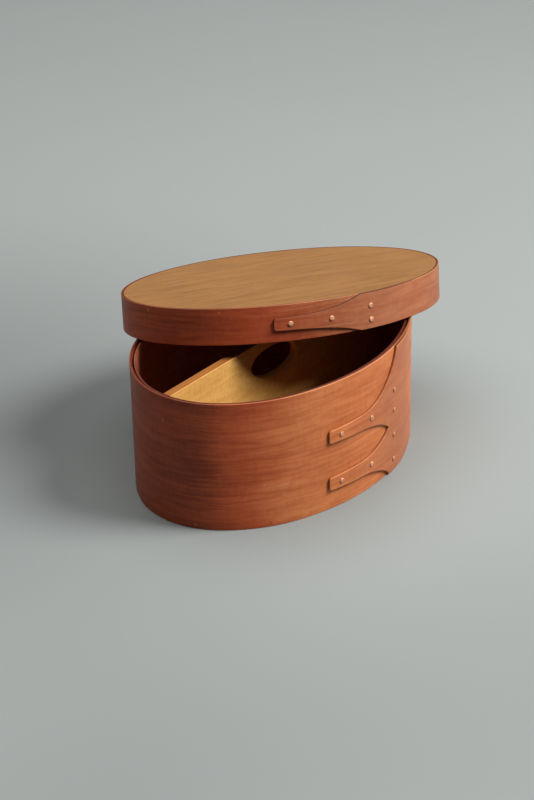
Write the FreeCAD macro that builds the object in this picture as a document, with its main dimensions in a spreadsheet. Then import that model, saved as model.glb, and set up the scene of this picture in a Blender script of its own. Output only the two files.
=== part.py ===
import FreeCAD, Part
import math
import os

import Sketcher
from FreeCAD import Placement, Rotation, Vector

# Bentwood oval box with swallowtail fingers, a lift-out divided tray and a loose lid that lies ajar.
# Millimetres, +Z up. The origin is the middle of the underside. The long axis is X, the fingers are
# on the -Y side and point to -X. The lid is drawn in a frame of its own, whose origin is the middle
# of its lower edge, and is then laid on the rim the way it rests in the photograph.

SIZES = {
    # The box: one bent band round a bottom board.
    "box_length": 210.0,
    "box_width": 148.6,
    "box_height": 84.4,
    "band_thickness": 1.6,
    "bottom_thickness": 5.0,
    "board_fit": 0.1,
    # Where the box band laps over itself, measured along X from the middle of the side.
    "box_tip_reach": 39.5,
    "box_feather_start": 30.0,
    "box_feather_end": 66.0,
    # Its two fingers.
    "upper_finger_height": 49.4,
    "lower_finger_height": 17.6,
    "box_tip_width": 8.8,
    "box_neck_reach": 12.0,
    "box_neck_width": 10.6,
    "box_root_reach": 16.6,
    "box_rim_reach": 26.7,
    "tip_corner_radius": 1.4,
    # Copper tacks.
    "tack_head_radius": 1.65,
    "tack_head_height": 0.7,
    "tack_shank_radius": 0.6,
    "tack_clinch_radius": 0.95,
    "tack_clinch_height": 0.35,
    "tack_fit": 0.03,
    "box_tip_tack_reach": 30.2,
    "box_middle_tack_reach": 3.5,
    "box_seam_tack_reach": 23.5,
    "seam_tack_height_one": 56.6,
    "seam_tack_height_two": 42.6,
    "seam_tack_height_three": 25.7,
    "seam_tack_height_four": 8.5,
    # Wooden pegs that hold each board in its band.
    "peg_radius": 0.9,
    "peg_length": 12.0,
    "peg_fit": 0.03,
    "peg_recess": 0.05,
    "peg_count": 9,
    "first_peg_angle": 306.0,
    "peg_arc": 288.0,
    # The tray: a thinner band round a floor, with a divider along the middle.
    "tray_clearance": 1.2,
    "tray_rim_drop": 1.1,
    "tray_seat_gap": 0.2,
    "tray_band_thickness": 1.4,
    "tray_floor_thickness": 3.5,
    "tray_seam_reach": 40.0,
    "tray_tack_margin": 14.0,
    "tray_tack_count": 3,
    "divider_thickness": 5.7,
    "divider_offset": 2.05,
    "divider_pin_radius": 0.7,
    "divider_pin_length": 11.0,
    "divider_pin_margin": 14.0,
    # The finger hole in the divider.
    "hole_length": 45.8,
    "hole_height": 19.8,
    "hole_drop": 18.8,
    "hole_tilt": 6.9,
    "hole_edge_radius": 1.6,
    # The lid: a low band round a top board.
    "lid_clearance": 0.6,
    "lid_band_thickness": 1.5,
    "lid_height": 22.6,
    "lid_board_thickness": 4.8,
    "lid_tip_reach": 47.3,
    "lid_feather_start": 24.0,
    "lid_feather_end": 60.0,
    "lid_finger_height": 10.9,
    "lid_tip_width": 7.9,
    "lid_neck_reach": 34.0,
    "lid_neck_width": 8.4,
    "lid_root_reach": 9.3,
    "lid_tip_tack_reach": 37.4,
    "lid_middle_tack_reach": 11.3,
    "lid_seam_tack_reach": 16.8,
    "lid_seam_tack_high": 14.5,
    "lid_seam_tack_low": 5.8,
    # How the lid lies ajar: pushed along and across the box and turned.
    "lid_shift_along": 43.6,
    "lid_shift_across": 24.4,
    "lid_turn": 23.1,
    "lid_rest_gap": 0.1,
}

# Shares of a finger edge's run and rise at which the two inner points of its curve lie.
FLARE_TO_ROOT = ((0.42, 0.085), (0.77, 0.44))
FLARE_TO_RIM = ((0.52, 0.017), (0.956, 0.63))
# Tools that cut right through reach this far past the wood.
PAST = 5.0
UP = Vector(0, 0, 1)
# The oval's arcs change where it faces this far round from its ends.
END_TURN = math.radians(35)
SIDE_TURN = math.radians(65)

doc = FreeCAD.newDocument("oval_box")
sheet = doc.addObject("Spreadsheet::Sheet", "sizes")
for row, (name, value) in enumerate(SIZES.items(), start=1):
    sheet.set(f"A{row}", name.replace("_", " "))
    sheet.set(f"B{row}", str(value))
    sheet.setAlias(f"B{row}", name)
doc.recompute()

PIECES = []


def size(name):
    return float(sheet.get(name))


def kept(label, piece, placement=None):
    """Count an object as a finished piece under its own name, laid where it belongs."""
    piece.Label = label
    if placement is not None:
        piece.Placement = placement
    PIECES.append(piece)
    return piece


def feature(name, shape):
    made = doc.addObject("Part::Feature", name)
    made.Shape = shape
    return made


def cut(name, base, tool):
    made = doc.addObject("Part::Cut", name)
    made.Base = base
    made.Tool = tool
    return made


def upright_oval(name, oval, height, bottom="0"):
    """A solid oval board or post; its height and its underside are rules on the sheet."""
    outline = feature(name + "_outline", oval.wire())
    outline.setExpression(".Placement.Base.z", bottom)
    post = doc.addObject("Part::Extrusion", name)
    post.Base = outline
    post.DirMode = "Custom"
    post.Dir = UP
    post.Solid = True
    post.setExpression("LengthFwd", height)
    return post


def closed_profile(body, role, corners):
    """A sketch whose corners are tied to the sheet; None puts a corner on that axis."""
    sketch = body.newObject("Sketcher::SketchObject", body.Name + "_profile")
    plane = [origin for origin in body.Origin.OriginFeatures if origin.Role == role][0]
    sketch.AttachmentSupport = [(plane, "")]
    sketch.MapMode = "FlatFace"
    # A sketch numbers its level axis, which also carries its origin, and its upright axis like this.
    level, upright = -1, -2
    places = []
    for rules in corners:
        across, along = [float(sketch.evalExpression(rule)) if rule else 0.0 for rule in rules]
        places.append(Vector(across, along, 0))
    for index, start in enumerate(places):
        sketch.addGeometry(Part.LineSegment(start, places[(index + 1) % len(places)]))
    for index, (place, rules) in enumerate(zip(places, corners)):
        following = (index + 1) % len(corners)
        sketch.addConstraint(Sketcher.Constraint("Coincident", index, 2, following, 1))
        ways = (("DistanceX", place.x, upright), ("DistanceY", place.y, level))
        for rule, (kind, value, axis) in zip(rules, ways):
            if rule is None:
                sketch.addConstraint(Sketcher.Constraint("PointOnObject", index, 1, axis))
            else:
                number = sketch.addConstraint(Sketcher.Constraint(kind, level, 1, index, 1, value))
                sketch.setExpression(f"Constraints[{number}]", rule)
    return sketch


def edge_names(shape, test):
    """The names of the edges that pass a test, as a fillet wants them."""
    return [f"Edge{number}" for number, edge in enumerate(shape.Edges, start=1) if test(edge)]


def tack(name, grip):
    """One copper tack along z: its head lies on the wood at z = 0, its point is flattened inside."""
    body = doc.addObject("PartDesign::Body", name)
    clinch = "sizes.tack_clinch_height"
    under_head = f"{clinch} + {grip} + sizes.tack_fit"
    profile = closed_profile(body, "XZ_Plane", [
        (None, None),
        ("sizes.tack_clinch_radius", None),
        ("sizes.tack_clinch_radius", clinch),
        ("sizes.tack_shank_radius", clinch),
        ("sizes.tack_shank_radius", under_head),
        ("sizes.tack_head_radius", under_head),
        ("sizes.tack_head_radius", f"{under_head} + sizes.tack_head_height"),
        (None, f"{under_head} + sizes.tack_head_height"),
    ])
    turned = body.newObject("PartDesign::Revolution", name + "_turned")
    turned.Profile = profile
    turned.ReferenceAxis = (profile, ["V_Axis"])
    turned.Angle = 360
    doc.recompute()
    top = turned.Shape.BoundBox.ZMax
    widest = size("tack_head_radius")
    rim = edge_names(turned.Shape, lambda edge: (
        abs(edge.BoundBox.ZMin - top) < 1e-6 and abs(edge.BoundBox.XMax - widest) < 1e-6))
    crown = body.newObject("PartDesign::Fillet", name + "_crown")
    crown.Base = (turned, rim)
    crown.setExpression("Radius", "sizes.tack_head_height * 0.85")
    body.Tip = crown
    body.setExpression(".Placement.Base.z", f"-({under_head})")
    doc.recompute()
    return body


def pin(name, radius, length):
    """One round wooden pin along z, its outer end a little below z = 0."""
    made = doc.addObject("Part::Cylinder", name)
    made.setExpression("Radius", radius)
    made.setExpression("Height", length)
    made.setExpression(".Placement.Base.z", f"-({length}) - sizes.peg_recess")
    doc.recompute()
    return made


class Oval:
    """An upright oval of eight tangent arcs, close to an ellipse. A place on it is the direction it
    faces, as an angle from +X, and an oval grown by an offset keeps the same centres."""

    def __init__(self, half_length, half_width, offset=0.0):
        self.half_length = half_length
        self.half_width = half_width
        self.offset = offset
        between = math.sqrt(half_length * half_width)
        cos_end, sin_end = math.cos(END_TURN), math.sin(END_TURN)
        cos_side, sin_side = math.cos(SIDE_TURN), math.sin(SIDE_TURN)
        # The arcs at the ends and along the sides follow from meeting the arc between them.
        along = -half_length + between * (cos_end - cos_side)
        across = half_width + between * (sin_end - sin_side)
        scale = (cos_end - 1) * (1 - sin_side) + cos_side * sin_end
        at_end = (along * (1 - sin_side) + cos_side * across) / scale
        at_side = ((cos_end - 1) * across - sin_end * along) / scale
        far = half_length - at_end
        deep = half_width - at_side
        corner = Vector(far + (at_end - between) * cos_end, (at_end - between) * sin_end, 0)
        half_turn = math.pi
        self.arcs = [
            (-END_TURN, END_TURN, Vector(far, 0, 0), at_end),
            (END_TURN, SIDE_TURN, corner, between),
            (SIDE_TURN, half_turn - SIDE_TURN, Vector(0, deep, 0), at_side),
            (half_turn - SIDE_TURN, half_turn - END_TURN, Vector(-corner.x, corner.y, 0), between),
            (half_turn - END_TURN, half_turn + END_TURN, Vector(-far, 0, 0), at_end),
            (half_turn + END_TURN, half_turn + SIDE_TURN, -corner, between),
            (half_turn + SIDE_TURN, 2 * half_turn - SIDE_TURN, Vector(0, -deep, 0), at_side),
            (2 * half_turn - SIDE_TURN, 2 * half_turn - END_TURN, Vector(corner.x, -corner.y, 0),
             between),
        ]

    def grown(self, by):
        return Oval(self.half_length, self.half_width, self.offset + by)

    def point(self, angle):
        """The point that faces this way."""
        turned = (angle + END_TURN) % (2 * math.pi) - END_TURN
        for start, end, centre, radius in self.arcs:
            if start <= turned <= end:
                return centre + facing_way(angle) * (radius + self.offset)
        raise ValueError("no arc faces that way")

    def angle_at(self, x, front=True):
        """The way the -Y side, or the +Y side, faces where it has this x."""
        for start, end, centre, radius in self.arcs[1:4]:
            share = (x - centre.x) / (radius + self.offset)
            if math.cos(end) - 1e-12 <= share <= math.cos(start) + 1e-12:
                angle = math.acos(share)
                return 2 * math.pi - angle if front else angle
        raise ValueError("the side does not reach that far")

    def run(self, begin, finish):
        """The edges from one facing to another, anticlockwise."""
        edges = []
        for turn in (-2 * math.pi, 0, 2 * math.pi):
            for start, end, centre, radius in self.arcs:
                first = max(start + turn, begin)
                last = min(end + turn, finish)
                if last - first > 1e-9:
                    circle = Part.Circle(centre, UP, radius + self.offset)
                    edges.append(Part.ArcOfCircle(circle, first, last).toShape())
        return edges

    def facing(self, angle, height):
        """A placement on the surface, with its own z pointing straight out."""
        return Placement(self.point(angle) + UP * height, Rotation(UP, facing_way(angle)))

    def wire(self):
        return Part.Wire(self.run(-END_TURN, 2 * math.pi - END_TURN))

    def post(self, height):
        return Part.Face(self.wire()).extrude(UP * height)


def facing_way(angle):
    return Vector(math.cos(angle), math.sin(angle), 0)


def lap_layer(outside, thickness, tip, feather_start, feather_end, height):
    """The outer end of a band that laps over itself, from its tip to where the feather runs out.

    Its inner side is sunk into the layer below, so that the two join as one piece of wood.
    """
    raised = outside.grown(thickness)
    sunk = outside.grown(-thickness / 4)
    tip_above = raised.angle_at(tip)
    tip_below = sunk.angle_at(tip)
    ramp_start = raised.angle_at(feather_start)
    ramp_end = sunk.angle_at(feather_end)
    start = raised.point(ramp_start)
    end = sunk.point(ramp_end)
    third = start.distanceToPoint(end) / 3
    ramp = Part.BezierCurve()
    ramp.setPoles([start, start + UP.cross(facing_way(ramp_start)) * third,
                   end - UP.cross(facing_way(ramp_end)) * third, end])
    step = Part.LineSegment(raised.point(tip_above), sunk.point(tip_below))
    edges = [*raised.run(tip_above, ramp_start), ramp.toShape(),
             *sunk.run(tip_below, ramp_end), step.toShape()]
    section = Part.Face(Part.Wire(Part.__sortEdges__(edges)))
    return section.extrude(UP * height)


def flare(neck, root, lean):
    """A finger's edge, from its neck out to where it meets its neighbour or the band's edge."""
    rise = root - neck
    inner = [neck + Vector(rise.x * along, 0, rise.z * up) for along, up in lean]
    curve = Part.BezierCurve()
    curve.setPoles([neck, *inner, root])
    return curve.toShape()


def finger_edges(height, tip, neck, roots, leans):
    """One finger's outline, from its upper root round the tip to its lower root."""
    tip_x, tip_half = tip
    neck_x, neck_half = neck
    corner = size("tip_corner_radius")
    bend = corner * (1 - math.sqrt(0.5))
    edges = []
    ends = []
    for side, root, lean in zip((1, -1), roots, leans):
        waist = Vector(neck_x, 0, height + side * neck_half)
        shoulder = Vector(tip_x + corner, 0, height + side * tip_half)
        middle = Vector(tip_x + bend, 0, height + side * (tip_half - bend))
        end = Vector(tip_x, 0, height + side * (tip_half - corner))
        edges.append(flare(waist, root, lean))
        edges.append(Part.LineSegment(waist, shoulder).toShape())
        edges.append(Part.Arc(shoulder, middle, end).toShape())
        ends.append(end)
    edges.append(Part.LineSegment(*ends).toShape())
    return edges


def lapped_band(name, outside, thickness, fingers, feather, height):
    """A closed band with an outer layer cut into fingers lying over it."""
    first = fingers[0]["roots"][0]
    last = fingers[-1]["roots"][1]
    tip_x = fingers[0]["tip"][0]
    beyond = outside.half_length
    above = height + PAST
    corners = [last, Vector(last.x, 0, -PAST), Vector(beyond, 0, -PAST),
               Vector(beyond, 0, above), Vector(first.x, 0, above), first]
    edges = [Part.LineSegment(start, end).toShape() for start, end in zip(corners, corners[1:])]
    for finger in fingers:
        edges += finger_edges(**finger)
    outline = Part.Face(Part.Wire(Part.__sortEdges__(edges)))
    front = Vector(0, -outside.half_width - thickness - PAST, 0)
    wood = feature(name + "_fingers", outline.translated(front).extrude(-front))
    layer = feature(name + "_layer", lap_layer(outside, thickness, tip_x, *feather, height))
    trimmed = doc.addObject("Part::MultiCommon", name + "_lap")
    trimmed.Shapes = [layer, wood]
    ring = feature(name + "_ring",
                   outside.post(height).cut(outside.grown(-thickness).post(height)))
    joined = doc.addObject("Part::MultiFuse", name + "_bent")
    joined.Shapes = [ring, trimmed]
    joined.Refine = True
    return joined


def copies(master, places):
    """A fastener's copies, each with its own z along the place's z."""
    made = []
    for place in places:
        copy = master.Shape.copy()
        copy.Placement = place * master.Placement
        made.append(copy)
    return made


def drilled(places, radius, depth):
    """The round holes that fasteners at these places stand in, as one tool."""
    drills = []
    for place in places:
        drill = Part.makeCylinder(radius, depth + PAST, Vector(0, 0, -depth))
        drill.Placement = place
        drills.append(drill)
    return drills


def peg_places(oval, height):
    """Places square to a band and spread along it, clear of the stretch where it laps."""
    count = int(size("peg_count"))
    step = size("peg_arc") / (count - 1)
    angles = [size("first_peg_angle") + index * step for index in range(count)]
    return [oval.facing(math.radians(angle), height) for angle in angles]


def tack_places(oval, spots, front=True):
    """Places on a band at the given distances along X and heights."""
    return [oval.facing(oval.angle_at(x, front), height) for x, height in spots]


def fastened(name, base, drills):
    return cut(name, base, feature(name + "_holes", Part.makeCompound(drills)))


def lid_pose(rim, skirt_inside, rim_height, depth):
    """Lay the lid on the rim: the skirt's lower edge crosses it twice and the board lies on its back.

    Set level at rim height, the inner edge of the skirt crosses the outer edge of the rim at two
    points. The lid then tips about the line through them until the board, depth above the skirt's
    lower edge, meets the part of the rim that lies farthest behind that line.
    """
    turn = Rotation(UP, -size("lid_turn"))
    centre = Vector(size("lid_shift_along"), size("lid_shift_across"), 0)
    edge = skirt_inside.wire()
    edge.Placement = Placement(centre, turn)
    crossings = [found.Point for found in rim.wire().section(edge).Vertexes]
    left, right = sorted(crossings, key=lambda found: found.x)
    chord = (right - left).normalize()
    behind = UP.cross(chord)
    farthest = rim.point(math.atan2(behind.y, behind.x))
    reach = behind.dot(farthest - left)
    tip = math.degrees(math.asin(depth / reach))
    height = UP * (rim_height + size("lid_rest_gap"))
    tipped = Placement(Vector(), Rotation(chord, -tip), left + height)
    return tipped * Placement(centre + height, turn)


band = size("band_thickness")
box_height = size("box_height")
box_outside = Oval(size("box_length") / 2, size("box_width") / 2)
box_inside = box_outside.grown(-band)
box_tack = tack("box_tack", "2 * sizes.band_thickness")
lid_tack = tack("lid_tack", "2 * sizes.lid_band_thickness")
tray_tack = tack("tray_tack", "sizes.tray_band_thickness")
board_peg = pin("board_peg", "sizes.peg_radius", "sizes.peg_length")
divider_pin = pin("divider_pin", "sizes.divider_pin_radius", "sizes.divider_pin_length")
peg_hole = size("peg_radius") + size("peg_fit")
peg_depth = size("peg_length") + size("peg_recess") + size("peg_fit")
tack_hole = size("tack_shank_radius") + size("tack_fit")
board_fit = size("board_fit")


def make_box():
    """The band with its two fingers, the bottom board, its pegs and the copper tacks."""
    upper = size("upper_finger_height")
    lower = size("lower_finger_height")
    half_gap = (upper - lower) / 2
    notch = Vector(size("box_root_reach"), 0, lower + half_gap)
    lowest = Vector(size("box_root_reach"), 0, lower - half_gap)
    rim_end = Vector(size("box_rim_reach"), 0, box_height)
    tip = (-size("box_tip_reach"), size("box_tip_width") / 2)
    neck = (-size("box_neck_reach"), size("box_neck_width") / 2)
    fingers = [
        {"height": upper, "tip": tip, "neck": neck, "roots": (rim_end, notch),
         "leans": (FLARE_TO_RIM, FLARE_TO_ROOT)},
        {"height": lower, "tip": tip, "neck": neck, "roots": (notch, lowest),
         "leans": (FLARE_TO_ROOT, FLARE_TO_ROOT)},
    ]
    feather = (size("box_feather_start"), size("box_feather_end"))
    bent = lapped_band("box", box_outside, band, fingers, feather, box_height)
    raised = box_outside.grown(band)
    spots = {}
    for row in ("tip", "middle"):
        x = -size(f"box_{row}_tack_reach")
        spots[row] = tack_places(raised, [(x, upper), (x, lower)])
    heights = [size(f"seam_tack_height_{number}") for number in ("one", "two", "three", "four")]
    spots["seam"] = tack_places(raised, [(size("box_seam_tack_reach"), at) for at in heights])
    pegs = peg_places(box_outside, size("bottom_thickness") / 2)
    peg_holes = drilled(pegs, peg_hole, peg_depth)
    tack_holes = drilled(spots["tip"] + spots["middle"] + spots["seam"], tack_hole, PAST)
    kept("box_band", fastened("box_band", bent, peg_holes + tack_holes))
    board = upright_oval("bottom_blank", box_inside.grown(-board_fit), "sizes.bottom_thickness")
    kept("box_bottom_board", fastened("box_bottom_board", board, peg_holes))
    kept("box_bottom_pegs", feature("box_bottom_pegs", Part.makeCompound(copies(board_peg, pegs))))
    for row, label in (("tip", "box_finger_tip_tacks"), ("middle", "box_finger_middle_tacks"),
                       ("seam", "box_seam_tacks")):
        kept(label, feature(label, Part.makeCompound(copies(box_tack, spots[row]))))


def make_tray():
    """The lift-out tray: a band closed by a glued scarf, its floor and the divider with its hole."""
    stand = "sizes.bottom_thickness + sizes.tray_seat_gap"
    height = f"sizes.box_height - sizes.tray_rim_drop - ({stand})"
    outside = box_inside.grown(-size("tray_clearance"))
    inside = outside.grown(-size("tray_band_thickness"))
    shell = upright_oval("tray_shell", outside, height, stand)
    space = upright_oval("tray_space", inside, height, stand)
    ring = cut("tray_ring", shell, space)
    fitting = inside.grown(-board_fit)
    floor = upright_oval("tray_floor_blank", fitting, "sizes.tray_floor_thickness", stand)

    blank = doc.addObject("Part::Box", "divider_blank")
    blank.setExpression("Length", "sizes.box_length")
    blank.setExpression("Width", "sizes.divider_thickness")
    floor_top = f"{stand} + sizes.tray_floor_thickness"
    blank.setExpression("Height", f"sizes.box_height - sizes.tray_rim_drop - ({floor_top})")
    blank.setExpression(".Placement.Base.x", "-sizes.box_length / 2")
    blank.setExpression(".Placement.Base.y", "sizes.divider_offset - sizes.divider_thickness / 2")
    blank.setExpression(".Placement.Base.z", floor_top)
    between = upright_oval("divider_room", fitting, height, stand)
    plank = doc.addObject("Part::MultiCommon", "divider_plank")
    plank.Shapes = [blank, between]
    outline = doc.addObject("Part::Ellipse", "finger_hole_outline")
    outline.setExpression("MajorRadius", "sizes.hole_length / 2")
    outline.setExpression("MinorRadius", "sizes.hole_height / 2")
    hole = doc.addObject("Part::Extrusion", "finger_hole")
    hole.Base = outline
    hole.DirMode = "Custom"
    hole.Dir = UP
    hole.Solid = True
    hole.setExpression("LengthFwd", "sizes.box_width")
    hole_centre = Vector(0, size("box_width") / 2, box_height - size("hole_drop"))
    lying = Rotation(Vector(1, 0, 0), 90)
    hole.Placement = Placement(hole_centre, Rotation(Vector(0, 1, 0), size("hole_tilt")) * lying)
    pierced = cut("divider_pierced", plank, hole)
    doc.recompute()
    hole_edges = edge_names(pierced.Shape, lambda edge: (
        edge.BoundBox.YLength < 1e-6 and abs(edge.BoundBox.Center.x) < size("hole_length") / 2
        and edge.BoundBox.XLength < size("hole_length")
        and abs(edge.BoundBox.Center.z - hole_centre.z) < size("hole_height")))
    eased = doc.addObject("Part::Fillet", "divider_eased")
    eased.Base = pierced
    radius = min(size("hole_edge_radius"), size("divider_thickness") * 0.45)
    eased.Edges = [(int(name[4:]), radius, radius) for name in hole_edges]
    doc.recompute()

    bottom = float(sheet.evalExpression(stand))
    top = bottom + float(sheet.evalExpression(height))
    pegs = peg_places(outside, bottom + size("tray_floor_thickness") / 2)
    peg_holes = drilled(pegs, peg_hole, peg_depth)
    margin = size("tray_tack_margin")
    count = int(size("tray_tack_count"))
    pitch = (top - bottom - 2 * margin) / (count - 1)
    seam = [(size("tray_seam_reach"), bottom + margin + index * pitch) for index in range(count)]
    tacks = tack_places(outside, seam, front=False)
    tack_holes = drilled(tacks, tack_hole, PAST)
    pin_margin = size("divider_pin_margin")
    end_radius = outside.arcs[0][-1]
    turned = math.asin(size("divider_offset") / (end_radius + outside.offset))
    pins = []
    for angle, along in ((turned, Vector(1, 0, 0)), (math.pi - turned, Vector(-1, 0, 0))):
        for z in (bottom + size("tray_floor_thickness") + pin_margin, top - pin_margin):
            pins.append(Placement(outside.point(angle) + UP * z, Rotation(UP, along)))
    pin_hole = size("divider_pin_radius") + size("peg_fit")
    pin_depth = size("divider_pin_length") + size("peg_recess") + size("peg_fit")
    pin_holes = drilled(pins, pin_hole, pin_depth)
    kept("tray_band", fastened("tray_band", ring, peg_holes + tack_holes + pin_holes))
    kept("tray_floor_board", fastened("tray_floor_board", floor, peg_holes))
    kept("tray_floor_pegs", feature("tray_floor_pegs", Part.makeCompound(copies(board_peg, pegs))))
    kept("tray_divider", fastened("tray_divider", eased, pin_holes))
    kept("tray_divider_pins", feature("tray_divider_pins",
                                      Part.makeCompound(copies(divider_pin, pins))))
    kept("tray_seam_tacks", feature("tray_seam_tacks", Part.makeCompound(copies(tray_tack, tacks))))


def make_lid():
    """The lid, wide enough for the box's own lap to pass inside it, laid ajar on the rim."""
    thickness = size("lid_band_thickness")
    height = size("lid_height")
    clearance = size("lid_clearance")
    inside = Oval(box_outside.half_length + clearance,
                  box_outside.half_width + clearance + band / 2)
    outside = inside.grown(thickness)
    finger = {
        "height": size("lid_finger_height"),
        "tip": (-size("lid_tip_reach"), size("lid_tip_width") / 2),
        "neck": (-size("lid_neck_reach"), size("lid_neck_width") / 2),
        "roots": (Vector(size("lid_root_reach"), 0, height), Vector(size("lid_root_reach"), 0, 0)),
        "leans": (FLARE_TO_ROOT, FLARE_TO_ROOT),
    }
    feather = (size("lid_feather_start"), size("lid_feather_end"))
    bent = lapped_band("lid", outside, thickness, [finger], feather, height)
    board_thickness = size("lid_board_thickness")
    pose = lid_pose(box_outside, inside, box_height, height - board_thickness)
    raised = outside.grown(thickness)
    on_finger = [(-size(f"lid_{row}_tack_reach"), finger["height"]) for row in ("tip", "middle")]
    on_seam = [(size("lid_seam_tack_reach"), size(f"lid_seam_tack_{end}")) for end in ("high", "low")]
    finger_tacks = tack_places(raised, on_finger)
    seam_tacks = tack_places(raised, on_seam)
    pegs = peg_places(outside, height - board_thickness / 2)
    peg_holes = drilled(pegs, peg_hole, peg_depth)
    tack_holes = drilled(finger_tacks + seam_tacks, tack_hole, PAST)
    kept("lid_band", fastened("lid_band", bent, peg_holes + tack_holes), pose)
    board = upright_oval("lid_board_blank", inside.grown(-board_fit), "sizes.lid_board_thickness",
                         "sizes.lid_height - sizes.lid_board_thickness")
    kept("lid_top_board", fastened("lid_top_board", board, peg_holes), pose)
    kept("lid_top_pegs", feature("lid_top_pegs", Part.makeCompound(copies(board_peg, pegs))), pose)
    kept("lid_finger_tacks", feature("lid_finger_tacks",
                                     Part.makeCompound(copies(lid_tack, finger_tacks))), pose)
    kept("lid_seam_tacks", feature("lid_seam_tacks",
                                   Part.makeCompound(copies(lid_tack, seam_tacks))), pose)
    print("lid pose", pose)


make_box()
make_tray()
make_lid()
doc.recompute()

for made in doc.Objects:
    if "Invalid" in made.State or "Error" in made.State:
        raise RuntimeError(f"{made.Name} did not build: {made.State}")
for piece in PIECES:
    if piece.Shape.isNull() or not piece.Shape.isValid() or not piece.Shape.Solids:
        raise RuntimeError(f"{piece.Label} has no sound solid")

os.makedirs("parts", exist_ok=True)
for piece in PIECES:
    piece.Shape.exportStep(os.path.join("parts", piece.Label + ".step"))
    solids = piece.Shape.Solids
    print(f"{piece.Label}: {len(solids)} solid(s), {piece.Shape.Volume:.1f} mm3")
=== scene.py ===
import math
import random

import bpy
from mathutils import Euler, Matrix, Vector, noise


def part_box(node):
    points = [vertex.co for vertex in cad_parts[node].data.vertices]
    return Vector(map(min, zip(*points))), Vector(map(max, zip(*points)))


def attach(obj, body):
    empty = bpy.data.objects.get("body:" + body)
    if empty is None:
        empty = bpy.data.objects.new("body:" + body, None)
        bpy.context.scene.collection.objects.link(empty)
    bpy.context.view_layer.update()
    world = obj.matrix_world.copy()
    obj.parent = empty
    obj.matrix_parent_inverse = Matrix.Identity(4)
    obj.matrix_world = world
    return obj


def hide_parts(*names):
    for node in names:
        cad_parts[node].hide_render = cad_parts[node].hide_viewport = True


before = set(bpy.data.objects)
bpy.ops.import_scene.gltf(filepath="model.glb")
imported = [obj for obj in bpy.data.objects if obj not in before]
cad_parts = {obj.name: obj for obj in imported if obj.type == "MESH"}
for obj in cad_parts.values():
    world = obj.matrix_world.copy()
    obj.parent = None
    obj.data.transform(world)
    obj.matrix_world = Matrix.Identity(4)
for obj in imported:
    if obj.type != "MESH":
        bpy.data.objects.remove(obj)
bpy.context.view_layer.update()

# A bentwood oval box: a band with two swallowtail fingers, a lift-out divided tray and a loose lid that
# lies ajar. Metres, +Z up. The long axis is X, and the fingers are on the -Y side and point to -X.

bl_info = {
    "name": "Oval Bentwood Box",
    "version": (1, 0, 0),
    "blender": (4, 5, 0),
    "location": "3D View > Sidebar > Oval Box",
    "description": "Bends, pins and finishes an oval wooden box with a divided tray and a lid",
    "category": "Object",
}

MM = 0.001
FULL_TURN = 2 * math.pi
BOX_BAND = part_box("box_band")
TRAY_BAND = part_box("tray_band")
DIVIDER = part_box("tray_divider")

# The oval's arcs change where it faces this far round from its ends.
END_TURN = math.radians(35)
SIDE_TURN = math.radians(65)
# Shares of a finger edge's run and rise at which the two inner points of its curve lie.
FLARE_TO_ROOT = ((0.42, 0.085), (0.77, 0.44))
FLARE_TO_RIM = ((0.52, 0.017), (0.956, 0.63))
# A quarter circle drawn as one curve has its handles this share of the radius away.
QUARTER_HANDLE = 0.5523
# Places closer than this are the same place.
TINY = 1e-6

BLACK = (0, 0, 0)
WHITE = (1, 1, 1)
DENT = (0.02, 0.008, 0.006)
RUBBED = (0.55, 0.30, 0.18)
PALE_RIM_AND_HIGHLIGHT = (0.75, 0.46, 0.30)
DULL_ROSE = (0.24, 0.090, 0.055)
# How strongly the colour of a lap's outer layer, of a pale rim on the shaded and on the lit side, part
# wear and part painted highlight, and of a dark edge, part burnished and part painted shade, shows.
OUTER_TONE = 0.42
SHADED_RIM, LIT_SIDE_RIM = 0.08, 0.26
EDGE_AND_SHADE_TONE = 0.9
# Dents and pale worn spots on the box's band: where they are and how far they reach along and up, in
# millimetres, then their colour and how strongly it shows.
BOX_MARKS = [
    (-93.1, 34.3, 15.5, 1.3, 1.0, DENT, 0.9),
    (-96.0, 30.0, 13.2, 2.2, 0.5, DENT, 0.5),
    (-77.0, -50.5, 29.1, 1.6, 0.45, RUBBED, 0.5),
    (-74.5, -52.5, 27.6, 1.3, 0.4, RUBBED, 0.4),
    (-105.0, 2.1, 68.6, 1.4, 2.2, RUBBED, 0.22),
    (-102.5, -13.0, 52.0, 5.0, 0.35, RUBBED, 0.2),
    (-60.0, -61.0, 46.0, 4.5, 0.35, DENT, 0.3),
    (-20.0, -73.0, 22.0, 6.0, 0.4, DENT, 0.25),
]
# Painted shade on the paper for the lamps' soft shadow and fall-off: where it lies, how far it reaches,
# both in metres, and how strongly it shows.
PAINTED_FLOOR_SHADE = [
    ((-0.34, 0.66, 0.0), (0.75, 0.75, 1.0), 0.28),
    ((-0.10, 0.20, 0.0), (0.42, 0.36, 1.0), 0.36),
    ((-0.30, -0.15, 0.0), (0.34, 0.24, 1.0), 0.18),
    ((0.00, -0.38, 0.0), (0.42, 0.30, 1.0), 0.22),
]


def length(name, description, millimetres):
    return bpy.props.FloatProperty(name=name, description=description, default=millimetres * MM,
                                   precision=5, subtype="DISTANCE", unit="LENGTH")


def angle(name, description, degrees):
    return bpy.props.FloatProperty(name=name, description=description,
                                   default=math.radians(degrees), subtype="ANGLE", unit="ROTATION")


def fraction(name, description, value):
    return bpy.props.FloatProperty(name=name, description=description, default=value, min=0, max=1,
                                   subtype="FACTOR")


def amount(name, description, value, **more):
    return bpy.props.FloatProperty(name=name, description=description, default=value, min=0, **more)


def count(name, description, value, fewest, most):
    return bpy.props.IntProperty(name=name, description=description, default=value, min=fewest,
                                 max=most)


def colour(name, description, red, green, blue):
    return bpy.props.FloatVectorProperty(name=name, description=description, subtype="COLOR",
                                         default=(red, green, blue), size=3, min=0, max=1)


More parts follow.
